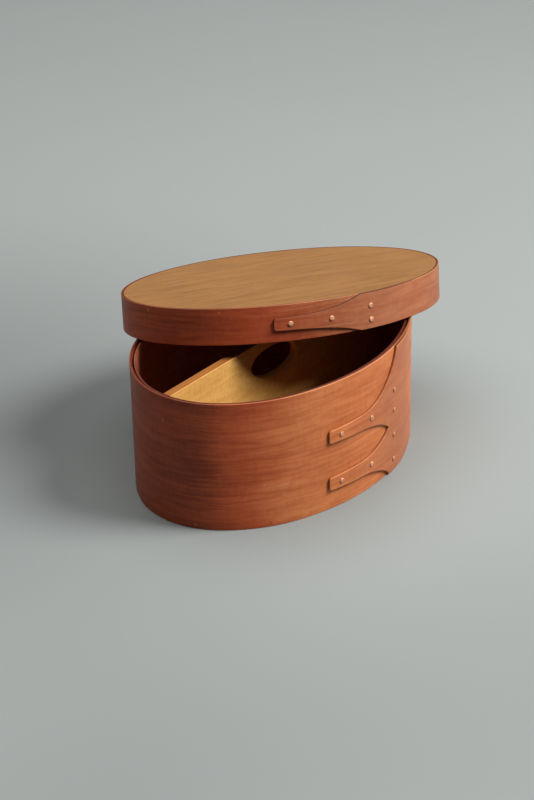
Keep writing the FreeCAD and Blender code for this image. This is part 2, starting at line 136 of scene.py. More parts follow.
class BoxSizes(bpy.types.PropertyGroup):
    """Sizes of the box's own band, its fingers and where its tacks sit."""

    half_width: length("Half width", "Half the width of the plain band", 74.3)
    thickness: length("Band thickness", "Thickness of the bent band", 1.6)
    edge_round: length("Edge rounding", "How far the band's edges are eased", 0.34)
    finger_round: length("Finger rounding", "How far the fingers' edges are pared", 0.62)
    # The fingers' dark edges: part burnish, part painted shade in their steps.
    burnish_and_shade: fraction("Burnish", "How dark the fingers' cut edges are", 0.6)
    lap_tone: fraction("Lap tone", "How much rosier the lap's outer layer is", 1.0)
    tip_reach: length("Tip reach", "Finger tips, from the middle of the side", 39.5)
    tip_width: length("Tip width", "Width of a finger at its tip", 8.8)
    neck_reach: length("Neck reach", "Where a finger starts to flare", 12.0)
    neck_width: length("Neck width", "Width of a finger at its neck", 10.6)
    tip_corner: length("Tip corner", "How far the corners of a finger's tip are rounded", 1.8)
    root_reach: length("Root reach", "Where the fingers meet, past the middle of the side", 16.6)
    rim_reach: length("Rim reach", "Where the upper finger's edge meets the rim", 26.7)
    upper_finger: length("Upper finger", "Height of the upper finger's middle", 49.4)
    lower_finger: length("Lower finger", "Height of the lower finger's middle", 17.6)
    feather_start: length("Feather start", "Where the outer layer starts to thin down", 30.0)
    feather_end: length("Feather end", "Where the outer layer has thinned away", 66.0)
    tip_tacks: length("Tip tacks", "Tacks near the finger tips, from the middle", 30.2)
    middle_tacks: length("Middle tacks", "Tacks half-way along the fingers, from the middle", 3.5)
    seam_tacks: length("Seam tacks", "Column of tacks behind the fingers, from the middle", 23.5)
    seam_tack_heights: bpy.props.FloatVectorProperty(
        name="Seam tack heights", description="Heights of the column of tacks behind the fingers",
        default=tuple(height * MM for height in (56.6, 42.6, 25.7, 8.5)), size=4, precision=5,
        unit="LENGTH")
    peg_height: length("Peg height", "Height of the pegs that hold the bottom", 2.5)


class LidSizes(bpy.types.PropertyGroup):
    """Sizes of the lid in its own frame, whose origin is the middle of its lower edge."""

    half_length: length("Half length", "Half the length inside the band", 105.6)
    half_width: length("Half width", "Half the width inside the band", 75.7)
    height: length("Height", "Height of the lid's band", 22.6)
    thickness: length("Band thickness", "Thickness of the bent band", 1.5)
    edge_round: length("Edge rounding", "How far the band's edges are eased", 0.3)
    finger_round: length("Finger rounding", "How far the finger's edges are pared", 0.45)
    # The finger's dark edges: part burnish, part painted shade in its steps.
    burnish_and_shade: fraction("Burnish", "How dark the finger's cut edges are", 1.0)
    lap_tone: fraction("Lap tone", "How much rosier the lap's outer layer is", 0.45)
    board: length("Board thickness", "Thickness of the lid's top board", 4.8)
    board_fit: length("Board fit", "Gap between the board and the band", 0.1)
    board_round: length("Board rounding", "How far the board's upper edge is eased", 0.28)
    tip_reach: length("Tip reach", "Finger tip, from the middle of the side", 47.3)
    tip_width: length("Tip width", "Width of the finger at its tip", 7.9)
    neck_reach: length("Neck reach", "Where the finger starts to flare", 34.0)
    neck_width: length("Neck width", "Width of the finger at its neck", 8.4)
    tip_corner: length("Tip corner", "How far the corners of the finger's tip are rounded", 1.8)
    root_reach: length("Root reach", "Where the finger's edges meet the band's edges", 9.3)
    finger: length("Finger height", "Height of the finger's middle", 10.9)
    feather_start: length("Feather start", "Where the outer layer starts to thin down", 24.0)
    feather_end: length("Feather end", "Where the outer layer has thinned away", 60.0)
    tip_tack: length("Tip tack", "Tack near the finger's tip, from the middle", 37.4)
    middle_tack: length("Middle tack", "Tack half-way along the finger, from the middle", 11.3)
    seam_tacks: length("Seam tacks", "Pair of tacks behind the finger, from the middle", 16.8)
    seam_tack_high: length("Upper seam tack", "Height of the upper tack of the pair", 14.5)
    seam_tack_low: length("Lower seam tack", "Height of the lower tack of the pair", 5.8)
    along: length("Along", "Where the lid lies along the box", 42.9434)
    across: length("Across", "Where the lid lies across the box", 23.7281)
    above: length("Above", "Height of the middle of the lid's lower edge", 75.8113)
    yaw: angle("Turn", "How far the lid is turned on the box", -23.5485)
    pitch: angle("Pitch", "How far the lid tips along its length", 4.44139)
    roll: angle("Roll", "How far the lid tips across its length", -11.5265)


class TraySizes(bpy.types.PropertyGroup):
    """Sizes of the lift-out tray and its divider."""

    clearance: length("Clearance", "Gap between the tray and the box's band", 1.2)
    thickness: length("Band thickness", "Thickness of the tray's band", 1.4)
    edge_round: length("Edge rounding", "How far the band's edges are eased", 0.22)
    floor: length("Floor thickness", "Thickness of the tray's floor", 3.5)
    seam_tacks: length("Seam tacks", "Column of tacks, from the middle of the far side", 40.0)
    tack_margin: length("Tack margin", "Outermost tacks, from the band's edges", 14.0)
    tack_count: count("Tack count", "Tacks in the tray's seam", 3, 2, 9)
    divider_fit: length("Divider fit", "Gap between the divider's ends and the band", 0.1)
    hole_length: length("Hole length", "Length of the finger hole", 45.8)
    hole_height: length("Hole height", "Height of the finger hole", 19.8)
    hole_middle: length("Hole middle", "Height of the middle of the finger hole", 65.6)
    hole_tilt: angle("Hole tilt", "How far the hole was cut out of level", 6.9)
    hole_round: length("Hole rounding", "How far the hole's edges are rounded over", 1.6)
    top_round: length("Top rounding", "How far the divider's top edges are eased", 0.5)
    pin_margin: length("Pin margin", "Divider pins, from the divider's upper and lower edge", 14.0)


class FastenerSizes(bpy.types.PropertyGroup):
    """Sizes of the copper tacks and of the wooden pegs."""

    head_radius: length("Head radius", "Radius of a tack's head", 1.65)
    head_height: length("Head height", "Height of a tack's head", 0.7)
    shank_radius: length("Shank radius", "Radius of a tack's shank", 0.6)
    clinch_radius: length("Clinch radius", "Radius of a tack's flattened point", 0.95)
    clinch_height: length("Clinch height", "Height of a tack's flattened point", 0.35)
    hammering: length("Hammering", "How uneven the hammered heads are", 0.05)
    peg_radius: length("Peg radius", "Radius of a peg", 0.9)
    pin_radius: length("Pin radius", "Radius of a divider pin", 0.7)
    peg_length: length("Peg length", "How deep a peg or pin goes", 11.0)
    peg_proud: length("Peg stand", "How far a sanded peg's end stands out", 0.02)
    peg_count: count("Peg count", "Pegs round each board", 9, 3, 24)
    first_peg: angle("First peg", "Way that the first peg faces", 306)
    peg_arc: angle("Peg arc", "Turn from the first peg to the last", 288)


class Finishes(bpy.types.PropertyGroup):
    """Colours of the woods, the copper and the floor, as linear values."""

    # The cherry tints below, from the shaded to the key-lit side, are lit and shaded copies of the wood's
    # colour: painted light, laid round the bands by the side that the key lamp lights.
    key_lit_light: colour("Light fresh cherry", "Paler wood that the light has faded", 0.65, 0.218, 0.075)
    key_lit_dark: colour("Dark fresh cherry", "Darker grain that the light has faded", 0.46, 0.120, 0.036)
    red_light: colour("Light red cherry", "Paler wood beside the faded side", 0.62, 0.122, 0.040)
    red_dark: colour("Dark red cherry", "Darker grain beside the faded side", 0.40, 0.064, 0.021)
    in_shade_light: colour("Light aged cherry", "Paler wood on the shaded side", 0.33, 0.064, 0.022)
    in_shade_dark: colour("Dark aged cherry", "Darker grain on the shaded side", 0.18, 0.028, 0.010)
    lid_key_lit_light: colour("Light fresh lid", "The lid's paler faded wood", 0.42, 0.150, 0.066)
    lid_key_lit_dark: colour("Dark fresh lid", "The lid's darker faded grain", 0.29, 0.078, 0.029)
    lid_red_light: colour("Light red lid", "The lid's paler wood beside it", 0.38, 0.068, 0.022)
    lid_red_dark: colour("Dark red lid", "The lid's darker grain beside it", 0.24, 0.036, 0.012)
    # Ways that the sides painted lighter face, toward where the lamps light them.
    lit_side: angle("Faded side", "Way that the faded side of box and lid faces", 290)
    tray_lit_side: angle("Tray's faded side", "Way that the tray's faded side faces", 65)
    # Dark edge colours: part burnished edge and part painted shade in the fingers' steps.
    cherry_edge_and_shade: colour("Cut cherry", "The burnished edges of the bands", 0.042, 0.012, 0.006)
    lid_edge_and_shade: colour("Cut lid edges", "The lid band's darker edges", 0.035, 0.012, 0.006)
    # The tray band's tints: the paler pair where the lamps reach its inside, the darker pair in its
    # shade, painted light.
    tray_light: colour("Light tray band", "Paler wood of the tray's band", 0.48, 0.16, 0.09)
    tray_dark: colour("Dark tray band", "Darker grain of the tray's band", 0.36, 0.09, 0.038)
    tray_in_shade_light: colour("Light aged tray", "Paler wood on its redder side", 0.155, 0.022, 0.010)
    tray_in_shade_dark: colour("Dark aged tray", "Darker grain on its redder side", 0.095, 0.014, 0.006)
    lid_light: colour("Light lid board", "The lid board's paler wood", 0.270, 0.126, 0.040)
    lid_dark: colour("Dark lid board", "The lid board's darker grain", 0.198, 0.086, 0.024)
    floor_light: colour("Light floor board", "Paler wood of bottom and tray floor", 0.45, 0.24, 0.11)
    floor_dark: colour("Dark floor board", "Darker grain of bottom and tray floor", 0.28, 0.12, 0.05)
    maple_light: colour("Light maple", "The divider's paler wood", 0.80, 0.45, 0.13)
    maple_dark: colour("Dark maple", "The divider's darker figure", 0.64, 0.31, 0.07)
    # The divider's top face is darkened in this colour: painted shade under the lid.
    maple_top_shade: colour("Maple edge", "The divider's darker upper edge", 0.19, 0.052, 0.007)
    copper: colour("Copper", "The tacks' heads", 0.82, 0.42, 0.25)
    copper_dull: colour("Dull copper", "The tacks where they have darkened", 0.50, 0.22, 0.12)
    copper_dark: colour("Darkened copper", "The heads behind the fingers", 0.60, 0.26, 0.145)
    backdrop: colour("Paper", "The studio floor", 0.230, 0.245, 0.236)


class StageSizes(bpy.types.PropertyGroup):
    """The camera that matches the photograph, and the lamps."""

    camera_at: bpy.props.FloatVectorProperty(name="Camera", description="Where the camera stands",
                                             default=(-0.92444, -0.70368, 0.64691), size=3,
                                             subtype="XYZ", unit="LENGTH")
    camera_down: angle("Look down", "How far the camera looks down", 27.69)
    camera_heading: angle("Heading", "How far the camera looks to the right of +Y", 52.49)
    camera_roll: angle("Roll", "How far the camera leans", -1.17)
    camera_lens: amount("Lens", "Focal length in millimetres", 94.5, max=300)
    floor_size: length("Paper size", "Width of the paper floor", 9000)
    aim_height: length("Aim", "Height that the lamps point at", 50)
    key_power: amount("Key", "Power of the main lamp", 90, max=500, unit="POWER")
    key_heading: angle("Key heading", "Way the main lamp stands, from +X", 300)
    key_height: angle("Key height", "How high the main lamp stands over the floor", 49)
    key_distance: length("Key distance", "How far away the main lamp stands", 2400)
    key_size: length("Key size", "Width of the main lamp", 1100)
    fill_power: amount("Fill", "Power of the soft lamp overhead", 36, max=500, unit="POWER")
    fill_height: length("Fill height", "How far above its aim the soft lamp hangs", 1800)
    fill_ahead: length("Fill ahead", "How far past its aim the soft lamp hangs", 300)
    fill_left: length("Fill left", "How far to the camera's left the soft lamp hangs", 400)
    fill_size: length("Fill size", "Width of the soft lamp", 2200)
    world_tint: colour("World tint", "Colour of the world's light", 0.93, 0.97, 1.0)
    world_light: amount("World", "Strength of the world's light", 0.08, max=10)
    beyond_light: amount("Beyond", "How bright the grey past the paper's edge looks", 1.4, max=10)


class OvalBoxSettings(bpy.types.PropertyGroup):
    """All that the box is made from."""

    box: bpy.props.PointerProperty(type=BoxSizes, name="Box", description="The box's sizes")
    lid: bpy.props.PointerProperty(type=LidSizes, name="Lid", description="The lid's sizes")
    tray: bpy.props.PointerProperty(type=TraySizes, name="Tray", description="The tray's sizes")
    fasteners: bpy.props.PointerProperty(type=FastenerSizes, name="Fasteners",
                                         description="The tacks' and pegs' sizes")
    finishes: bpy.props.PointerProperty(type=Finishes, name="Finishes",
                                        description="The finishes' colours")
    stage: bpy.props.PointerProperty(type=StageSizes, name="Stage",
                                     description="The camera and the lamps")


def settings():
    return bpy.context.scene.oval_box


class Value:
    """One of a shader's outputs: sums on it add Math nodes."""

    def __init__(self, shader, socket):
        self.shader = shader
        self.socket = socket

    def math(self, operation, first, second):
        return self.shader.node("ShaderNodeMath", {"operation": operation}, {0: first, 1: second})

    def __add__(self, other):
        return self.math("ADD", self, other)

    __radd__ = __add__

    def __mul__(self, other):
        return self.math("MULTIPLY", self, other)

    __rmul__ = __mul__

    def __sub__(self, other):
        return self.math("SUBTRACT", self, other)

    def __rsub__(self, other):
        return self.math("SUBTRACT", other, self)

    def between(self, low, high):
        """0 at low and 1 at high, level beyond them, with a smooth rise between."""
        return self.shader.node("ShaderNodeMapRange", {"interpolation_type": "SMOOTHSTEP"},
                                {"Value": self, "From Min": low, "From Max": high})


class Shader:
    """A material being made: one method adds any node, and the rest are shorthands for it."""

    def __init__(self, name):
        self.material = bpy.data.materials.new(name)
        self.material.use_nodes = True
        self.tree = self.material.node_tree
        self.principled = self.tree.nodes["Principled BSDF"]

    def node(self, kind, options=None, inputs=None, output=0):
        made = self.tree.nodes.new(kind)
        for name, value in (options or {}).items():
            setattr(made, name, value)
        for name, value in (inputs or {}).items():
            self.feed(made.inputs[name], value)
        return Value(self, made.outputs[output])

    def feed(self, socket, value):
        if isinstance(value, Value):
            self.tree.links.new(value.socket, socket)
        elif hasattr(value, "__len__") and len(value) == 3 and socket.type == "RGBA":
            socket.default_value = (*value, 1)
        else:
            socket.default_value = value

    def set(self, name, value):
        self.feed(self.principled.inputs[name], value)

    def uv(self):
        return self.node("ShaderNodeTexCoord", output="UV")

    def place(self):
        return self.node("ShaderNodeTexCoord", output="Object")

    def on_edge(self):
        """The object's coordinates, turned for a board that stands on its edge along X."""
        return self.mapped(self.place(), (1, 1, 1), turn=(math.pi / 2, 0, 0))

    def mapped(self, vector, scale, shift=(0, 0, 0), turn=(0, 0, 0)):
        return self.node("ShaderNodeMapping", {},
                         {"Vector": vector, "Location": shift, "Rotation": turn, "Scale": scale})

    def pattern(self, vector, repeat, shift=(0, 0, 0), detail=3, roughness=0.5, distortion=0):
        """Noise that changes once in so many millimetres along each part of a vector in metres."""
        often = tuple(1 / (size * MM) for size in repeat)
        return self.node("ShaderNodeTexNoise", {},
                         {"Vector": self.mapped(vector, often, shift), "Scale": 1, "Detail": detail,
                          "Roughness": roughness, "Distortion": distortion}, output="Fac")

    def mix(self, factor, first, second):
        """The first colour where the factor is 0, the second where it is 1."""
        return self.node("ShaderNodeMix", {"data_type": "RGBA", "clamp_factor": True},
                         {0: factor, 6: first, 7: second}, output=2)

    def attribute(self, name):
        return self.node("ShaderNodeAttribute", {"attribute_name": name}, output="Fac")

    def blot(self, vector, place, reach):
        """1 at a place, fading to 0 at its reach along each part of the vector."""
        away = self.node("ShaderNodeVectorMath", {"operation": "SUBTRACT"}, {0: vector, 1: place})
        scaled = self.mapped(away, tuple(1 / part for part in reach))
        distance = self.node("ShaderNodeVectorMath", {"operation": "LENGTH"}, {0: scaled}, "Value")
        return distance.between(1, 0)

    def moved(self, vector, across):
        """The vector with a value added to its second part."""
        shift = self.node("ShaderNodeCombineXYZ", {}, {"X": 0, "Y": across, "Z": 0})
        return self.node("ShaderNodeVectorMath", {"operation": "ADD"}, {0: vector, 1: shift})

    def bump(self, height, depth, strength):
        return self.node("ShaderNodeBump", {},
                         {"Height": height, "Distance": depth, "Strength": strength})


def wood(name, vector_of, tints, seed, figure=0.3, streaks=1.0, gloss=0.42, coat=0.03, dashes=0.45,
         curl=(2.6, 8, 8), cut=BLACK, marks=()):
    """Planed and oiled wood whose grain runs along the first part of its vector, in metres.

    Its tints are (light, dark) pairs, from where the lit-side attribute is 0 to where it is 1: lit and
    shaded copies of the wood's colour, painted light. The "outer" attribute brings out the rosier outer
    layer of a lap, the pale-rim attribute the rims that are pale with wear and a painted highlight, and
    "cut" the dark colour of edges, part burnished and part painted shade. A mark is a place and a reach
    on the vector, a colour and a strength.
    """
    shader = Shader(name)
    vector = vector_of(shader)
    drift = shader.pattern(vector, (70, 14, 30), (seed, 0, 0), 2)
    wavy = shader.moved(vector, (drift - 0.5) * (8 * MM))
    # Growth lines, blotches and broad drifts, fine fibres and the figure across them, then the short
    # dark dashes of the pores and the painted glints beside them, a painted highlight.
    growth = shader.pattern(wavy, (85, 2.4, 9), (0, seed, 0), 4, 0.66).between(0.3, 0.7)
    blotch = shader.pattern(wavy, (26, 6.5, 12), (seed, seed, 0), 3, 0.6).between(0.28, 0.72)
    broad = shader.pattern(vector, (60, 28, 40), (2, seed, 0), 2).between(0.3, 0.7)
    fibres = shader.pattern(wavy, (9, 0.32, 3), (0, 0, seed), 3, 0.7)
    ripple = shader.pattern(wavy, curl, (seed, 2, 0), 2, 0.55, 0.4)
    dash = shader.pattern(wavy, (4.5, 0.42, 2.5), (1, seed, 0), 2, 0.55).between(0.6, 0.74)
    painted_glint = shader.pattern(wavy, (2.4, 0.5, 2), (seed, 1, 0), 2, 0.6).between(0.62, 0.78)
    body = growth * (0.36 * streaks) + blotch * 0.28 + broad * 0.18 + fibres.between(0.3, 0.7) * 0.18
    body = (body + (ripple - 0.5) * figure).between(0.08, 0.86)
    # Lit and shaded copies of the colour, laid by the lit-side attribute: painted light.
    shades = [shader.mix(body, dark, light) for light, dark in tints]
    base = shades[0]
    lit = shader.attribute("lit_share") + (broad - 0.5) * 0.12 + (growth - 0.5) * 0.1
    for step, shade in enumerate(shades[1:]):
        ends = [index / (len(shades) - 1) for index in (step, step + 1)]
        base = shader.mix(lit.between(*ends), base, shade)
    base = shader.mix(dash * dashes, base, shader.mix(0.62, base, BLACK))
    # Pale flecks mixed into the colour are painted glints, a painted highlight.
    base = shader.mix(painted_glint * 0.25, base, shader.mix(0.3, base, WHITE))
    for place, reach, tint, strength in marks:
        base = shader.mix(shader.blot(wavy, place, reach) * strength, base, tint)
    base = shader.mix(shader.attribute("outer") * OUTER_TONE, base, DULL_ROSE)
    # Pale rims: part wear, part painted highlight on the rim's arris, stronger on the lit side.
    rim_wear_and_highlight = shader.attribute("lit_share") * (LIT_SIDE_RIM - SHADED_RIM) + SHADED_RIM
    base = shader.mix(shader.attribute("worn_and_highlit") * rim_wear_and_highlight, base, PALE_RIM_AND_HIGHLIGHT)
    # Dark edges: part burnished edge, part painted shade in the fingers' steps and on faces the lamps
    # reach less.
    dark_edge_and_shade = shader.attribute("cut")
    base = shader.mix(dark_edge_and_shade * EDGE_AND_SHADE_TONE, base, cut)
    shader.set("Base Color", base)
    shader.set("Roughness", (fibres - 0.5) * 0.16 + (broad - 0.5) * 0.08 + dark_edge_and_shade * 0.15 + gloss)
    shader.set("Coat Weight", coat)
    shader.set("Coat Roughness", 0.3)
    shader.set("IOR", 1.45)
    shader.set("Specular IOR Level", 0.18)
    relief = fibres * 0.6 + growth * 0.4 - dash * 0.9
    shader.set("Normal", shader.bump(relief, 0.07 * MM, 0.5))
    return shader.material


def copper(name, shine, dull):
    """Hammered copper in brighter and duller patches, with painted shade round the foot of its head."""
    shader = Shader(name)
    place = shader.place()
    patches = shader.pattern(place, (1.6, 1.6, 1.6), roughness=0.6)
    grit = shader.pattern(place, (0.22, 0.22, 0.22), detail=2, roughness=0.6)
    base = shader.mix(patches.between(0.3, 0.62), dull, shine)
    # Painted shade round the foot of the head, where it meets the wood.
    base = shader.mix(shader.attribute("cut") * 0.8, base, tuple(part * 0.2 for part in dull))
    shader.set("Base Color", base)
    shader.set("Metallic", 0.5)
    shader.set("Roughness", 0.48 + patches * 0.2)
    shader.set("Normal", shader.bump(grit + patches, 0.05 * MM, 0.5))
    return shader.material


def paper(name, shade):
    """The studio's paper floor: nearly even, with the faintest fibre and a few stretches of painted
    shade.
    """
    shader = Shader(name)
    place = shader.place()
    clouds = shader.pattern(place, (420, 420, 420))
    fibre = shader.pattern(place, (1.3, 1.3, 1.3), detail=4, roughness=0.75)
    lighter = tuple(min(1, part * 1.09) for part in shade)
    darker = tuple(part * 0.92 for part in shade)
    tone = shader.mix(clouds * 0.5 + fibre * 0.5, darker, lighter)
    # Painted shade: the lamps' soft shadow and fall-off on the paper.
    for spot, reach, strength in PAINTED_FLOOR_SHADE:
        tone = shader.mix(shader.blot(place, spot, reach) * strength, tone, BLACK)
    shader.set("Base Color", tone)
    shader.set("Roughness", 0.85 + (fibre - 0.5) * 0.1)
    shader.set("Normal", shader.bump(fibre, 0.05 * MM, 0.15))
    return shader.material


class Oval:
    """An upright oval of eight tangent arcs. A place on it is the direction it faces, as an angle
    from +X; an oval grown by an offset keeps the same centres."""

    def __init__(self, half_length, half_width, offset=0.0):
        self.half_length = half_length
        self.half_width = half_width
        self.offset = offset
        between = math.sqrt(half_length * half_width)
        cos_end, sin_end = math.cos(END_TURN), math.sin(END_TURN)
        cos_side, sin_side = math.cos(SIDE_TURN), math.sin(SIDE_TURN)
        along = -half_length + between * (cos_end - cos_side)
        across = half_width + between * (sin_end - sin_side)
        scale = (cos_end - 1) * (1 - sin_side) + cos_side * sin_end
        at_end = (along * (1 - sin_side) + cos_side * across) / scale
        at_side = ((cos_end - 1) * across - sin_end * along) / scale
        far = half_length - at_end
        deep = half_width - at_side
        corner_x = far + (at_end - between) * cos_end
        corner_y = (at_end - between) * sin_end
        half = math.pi
        self.arcs = [
            (-END_TURN, END_TURN, Vector((far, 0)), at_end),
            (END_TURN, SIDE_TURN, Vector((corner_x, corner_y)), between),
            (SIDE_TURN, half - SIDE_TURN, Vector((0, deep)), at_side),
            (half - SIDE_TURN, half - END_TURN, Vector((-corner_x, corner_y)), between),
            (half - END_TURN, half + END_TURN, Vector((-far, 0)), at_end),
            (half + END_TURN, half + SIDE_TURN, Vector((-corner_x, -corner_y)), between),
            (half + SIDE_TURN, FULL_TURN - SIDE_TURN, Vector((0, -deep)), at_side),
            (FULL_TURN - SIDE_TURN, FULL_TURN - END_TURN, Vector((corner_x, -corner_y)), between),
        ]

    def grown(self, by):
        return Oval(self.half_length, self.half_width, self.offset + by)

    def point(self, facing, offset=0.0):
        turned = (facing + END_TURN) % FULL_TURN - END_TURN
        for start, end, centre, radius in self.arcs:
            if start <= turned <= end:
                return centre + way(facing) * (radius + self.offset + offset)
        raise ValueError("no arc faces that way")

    def facing_at(self, x, front=True):
        """The way the -Y side, or the +Y side, faces where it has this x."""
        slack = 1e-12
        for start, end, centre, radius in self.arcs[1:4]:
            cosine = (x - centre.x) / (radius + self.offset)
            if math.cos(end) - slack <= cosine <= math.cos(start) + slack:
                facing = math.acos(cosine)
                return FULL_TURN - facing if front else facing
        raise ValueError("the side does not reach that far")

    def run_to(self, facing):
        """Length along the plain oval, from where it faces -END_TURN."""
        turned = (facing + END_TURN) % FULL_TURN - END_TURN
        total = 0.0
        for start, end, _, radius in self.arcs:
            if turned <= end:
                return total + (turned - start) * radius
            total += (end - start) * radius
        return total

    def perimeter(self):
        return sum((end - start) * radius for start, end, _, radius in self.arcs)

    def facing_after(self, run):
        """The way it faces after this length from where it faces -END_TURN."""
        for start, end, _, radius in self.arcs:
            span = (end - start) * radius
            if run <= span:
                return start + run / radius
            run -= span
        return FULL_TURN - END_TURN

    def unrolled(self, x, y):
        """(run, offset) of a point near the oval."""
        best = None
        for start, end, centre, radius in self.arcs:
            arm = Vector((x, y)) - centre
            facing = (math.atan2(arm.y, arm.x) + END_TURN) % FULL_TURN - END_TURN
            miss = max(start - facing, facing - end, 0)
            if best is None or miss < best[0]:
                best = (miss, min(max(facing, start), end), arm.length - radius)
        return self.run_to(best[1]), best[2]

    def placed(self, facing, height):
        """A matrix on the surface, with its own z pointing straight out."""
        out = way(facing)
        spot = self.point(facing)
        turn = Vector((0, 0, 1)).rotation_difference(Vector((out.x, out.y, 0)))
        return Matrix.Translation((spot.x, spot.y, height)) @ turn.to_matrix().to_4x4()


def way(facing):
    """The level direction that an angle from +X gives."""
    return Vector((math.cos(facing), math.sin(facing)))


def box_oval():
    return Oval(BOX_BAND[1][0], settings().box.half_width)


def tray_oval():
    return box_oval().grown(-settings().box.thickness - settings().tray.clearance)


def lid_oval():
    lid = settings().lid
    return Oval(lid.half_length, lid.half_width).grown(lid.thickness)


def lid_pose():
    """How the lid's own frame lies on the box."""
    lid = settings().lid
    turn = Euler((lid.roll, lid.pitch, lid.yaw), "XYZ").to_matrix().to_4x4()
    return Matrix.Translation((lid.along, lid.across, lid.above)) @ turn


def strip_end(oval, sizes):
    """Run along a band to where its strip ends, hidden under the lap."""
    return oval.run_to(oval.facing_at((sizes.root_reach + sizes.feather_start) / 2))


def start_fresh():
    """Leave edit mode and deselect everything."""
    if bpy.context.object and bpy.context.object.mode != "OBJECT":
        bpy.ops.object.mode_set(mode="OBJECT")
    bpy.ops.object.select_all(action="DESELECT")


def only(piece):
    """Select one piece alone and make it active."""
    start_fresh()
    piece.select_set(True)
    bpy.context.view_layer.objects.active = piece


def editing(piece, mode, picked):
    """Edit a piece with only those of its vertices, edges or faces selected that pass a test."""
    only(piece)
    mesh = piece.data
    for part in (*mesh.vertices, *mesh.edges, *mesh.polygons):
        part.select = False
    source = {"VERT": mesh.vertices, "EDGE": mesh.edges, "FACE": mesh.polygons}[mode]
    chosen = [part for part in source if picked(part)]
    for part in chosen:
        part.select = True
    if mode == "EDGE":
        for part in chosen:
            for index in part.vertices:
                mesh.vertices[index].select = True
    bpy.context.tool_settings.mesh_select_mode = (mode == "VERT", mode == "EDGE", mode == "FACE")
    bpy.ops.object.mode_set(mode="EDIT")


def done_editing():
    bpy.ops.object.mode_set(mode="OBJECT")


def outward(piece):
    """Turn all its faces outwards."""
    editing(piece, "FACE", lambda face: True)
    bpy.ops.mesh.normals_make_consistent(inside=False)
    done_editing()


def modified(piece, kind, **values):
    """Add a modifier and apply it."""
    only(piece)
    bpy.ops.object.modifier_add(type=kind)
    modifier = piece.modifiers[-1]
    for name, value in values.items():
        setattr(modifier, name, value)
    bpy.ops.object.modifier_apply(modifier=modifier.name)


def smoothed(piece, limit=38):
    """Shade it smooth but for edges sharper than a limit in degrees."""
    only(piece)
    bpy.ops.object.shade_smooth_by_angle(angle=math.radians(limit))
    modified(piece, "WEIGHTED_NORMAL", keep_sharp=True)


def named(piece, name):
    piece.name = piece.data.name = name
    return piece


def joined(pieces, name):
    """The pieces as one object."""
    only(pieces[0])
    for piece in pieces[1:]:
        piece.select_set(True)
    if len(pieces) > 1:
        bpy.ops.object.join()
    return named(bpy.context.object, name)


def settled(piece, pose=None):
    """Carry a pose into the mesh, so that the object itself stays at the origin."""
    if pose is not None:
        piece.matrix_world = pose
    only(piece)
    bpy.ops.object.transform_apply(location=True, rotation=True, scale=True)


def finish(piece, body, node, material):
    """Give a finished piece its material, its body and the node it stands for."""
    piece.data.materials.clear()
    piece.data.materials.append(material)
    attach(piece, body)
    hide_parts(node)


def unroll_map(piece, oval, start, closed=True):
    """A UV map in metres that follows the band: the run from a start, then height plus depth.

    A closed band's map breaks at the start, where the bent strip's own end lies.
    """
    mesh = piece.data
    while mesh.uv_layers:
        mesh.uv_layers.remove(mesh.uv_layers[0])
    layer = mesh.uv_layers.new(name="along the band")
    total = oval.perimeter()
    flat = [oval.unrolled(vertex.co.x, vertex.co.y) for vertex in mesh.vertices]
    for face in mesh.polygons:
        runs = [flat[index][0] - start for index in face.vertices]
        if closed:
            runs = [run % total for run in runs]
            if max(runs) - min(runs) > total / 2:
                runs = [run + total if run < total / 2 else run for run in runs]
        for run, corner in zip(runs, face.loop_indices):
            index = mesh.loops[corner].vertex_index
            layer.data[corner].uv = (run, mesh.vertices[index].co.z + flat[index][1])


def marked(piece, name, value_of):
    """Give every vertex a number between 0 and 1 that the materials read."""
    mesh = piece.data
    made = mesh.attributes.get(name) or mesh.attributes.new(name, "FLOAT", "POINT")
    for vertex, entry in zip(mesh.vertices, made.data):
        entry.value = min(max(value_of(vertex.co), 0), 1)


def lit_share(piece, oval, middle):
    """Mark the side that the key lamp lights, where the colour is painted lighter; its middle faces that
    way.
    """
    squash = (oval.half_length / oval.half_width) ** 2
    shaded, lit = 0.37, 0.88

    def share(place):
        toward = 0.5 + 0.5 * math.cos(math.atan2(place.y * squash, place.x) - middle)
        return max((toward - shaded) / (lit - shaded), 0) ** 1.5

    marked(piece, "lit_share", share)


def plan_map(piece):
    """A UV map in metres that looks straight down on a board."""
    mesh = piece.data
    layer = mesh.uv_layers.new(name="along the grain") if not mesh.uv_layers else mesh.uv_layers[0]
    for corner in mesh.loops:
        place = mesh.vertices[corner.vertex_index].co
        layer.data[corner.index].uv = (place.x, place.y + place.z)


def laid_circle(oval, columns, height, fill):
    """A circle whose points are laid evenly along an oval, at one height."""
    start_fresh()
    bpy.ops.mesh.primitive_circle_add(vertices=columns, radius=oval.half_length, fill_type=fill,
                                      location=(0, 0, 0))
    circle = bpy.context.object
    total = oval.perimeter()
    for index, vertex in enumerate(circle.data.vertices):
        spot = oval.point(oval.facing_after(total * index / columns))
        vertex.co = (spot.x, spot.y, height)
    return circle


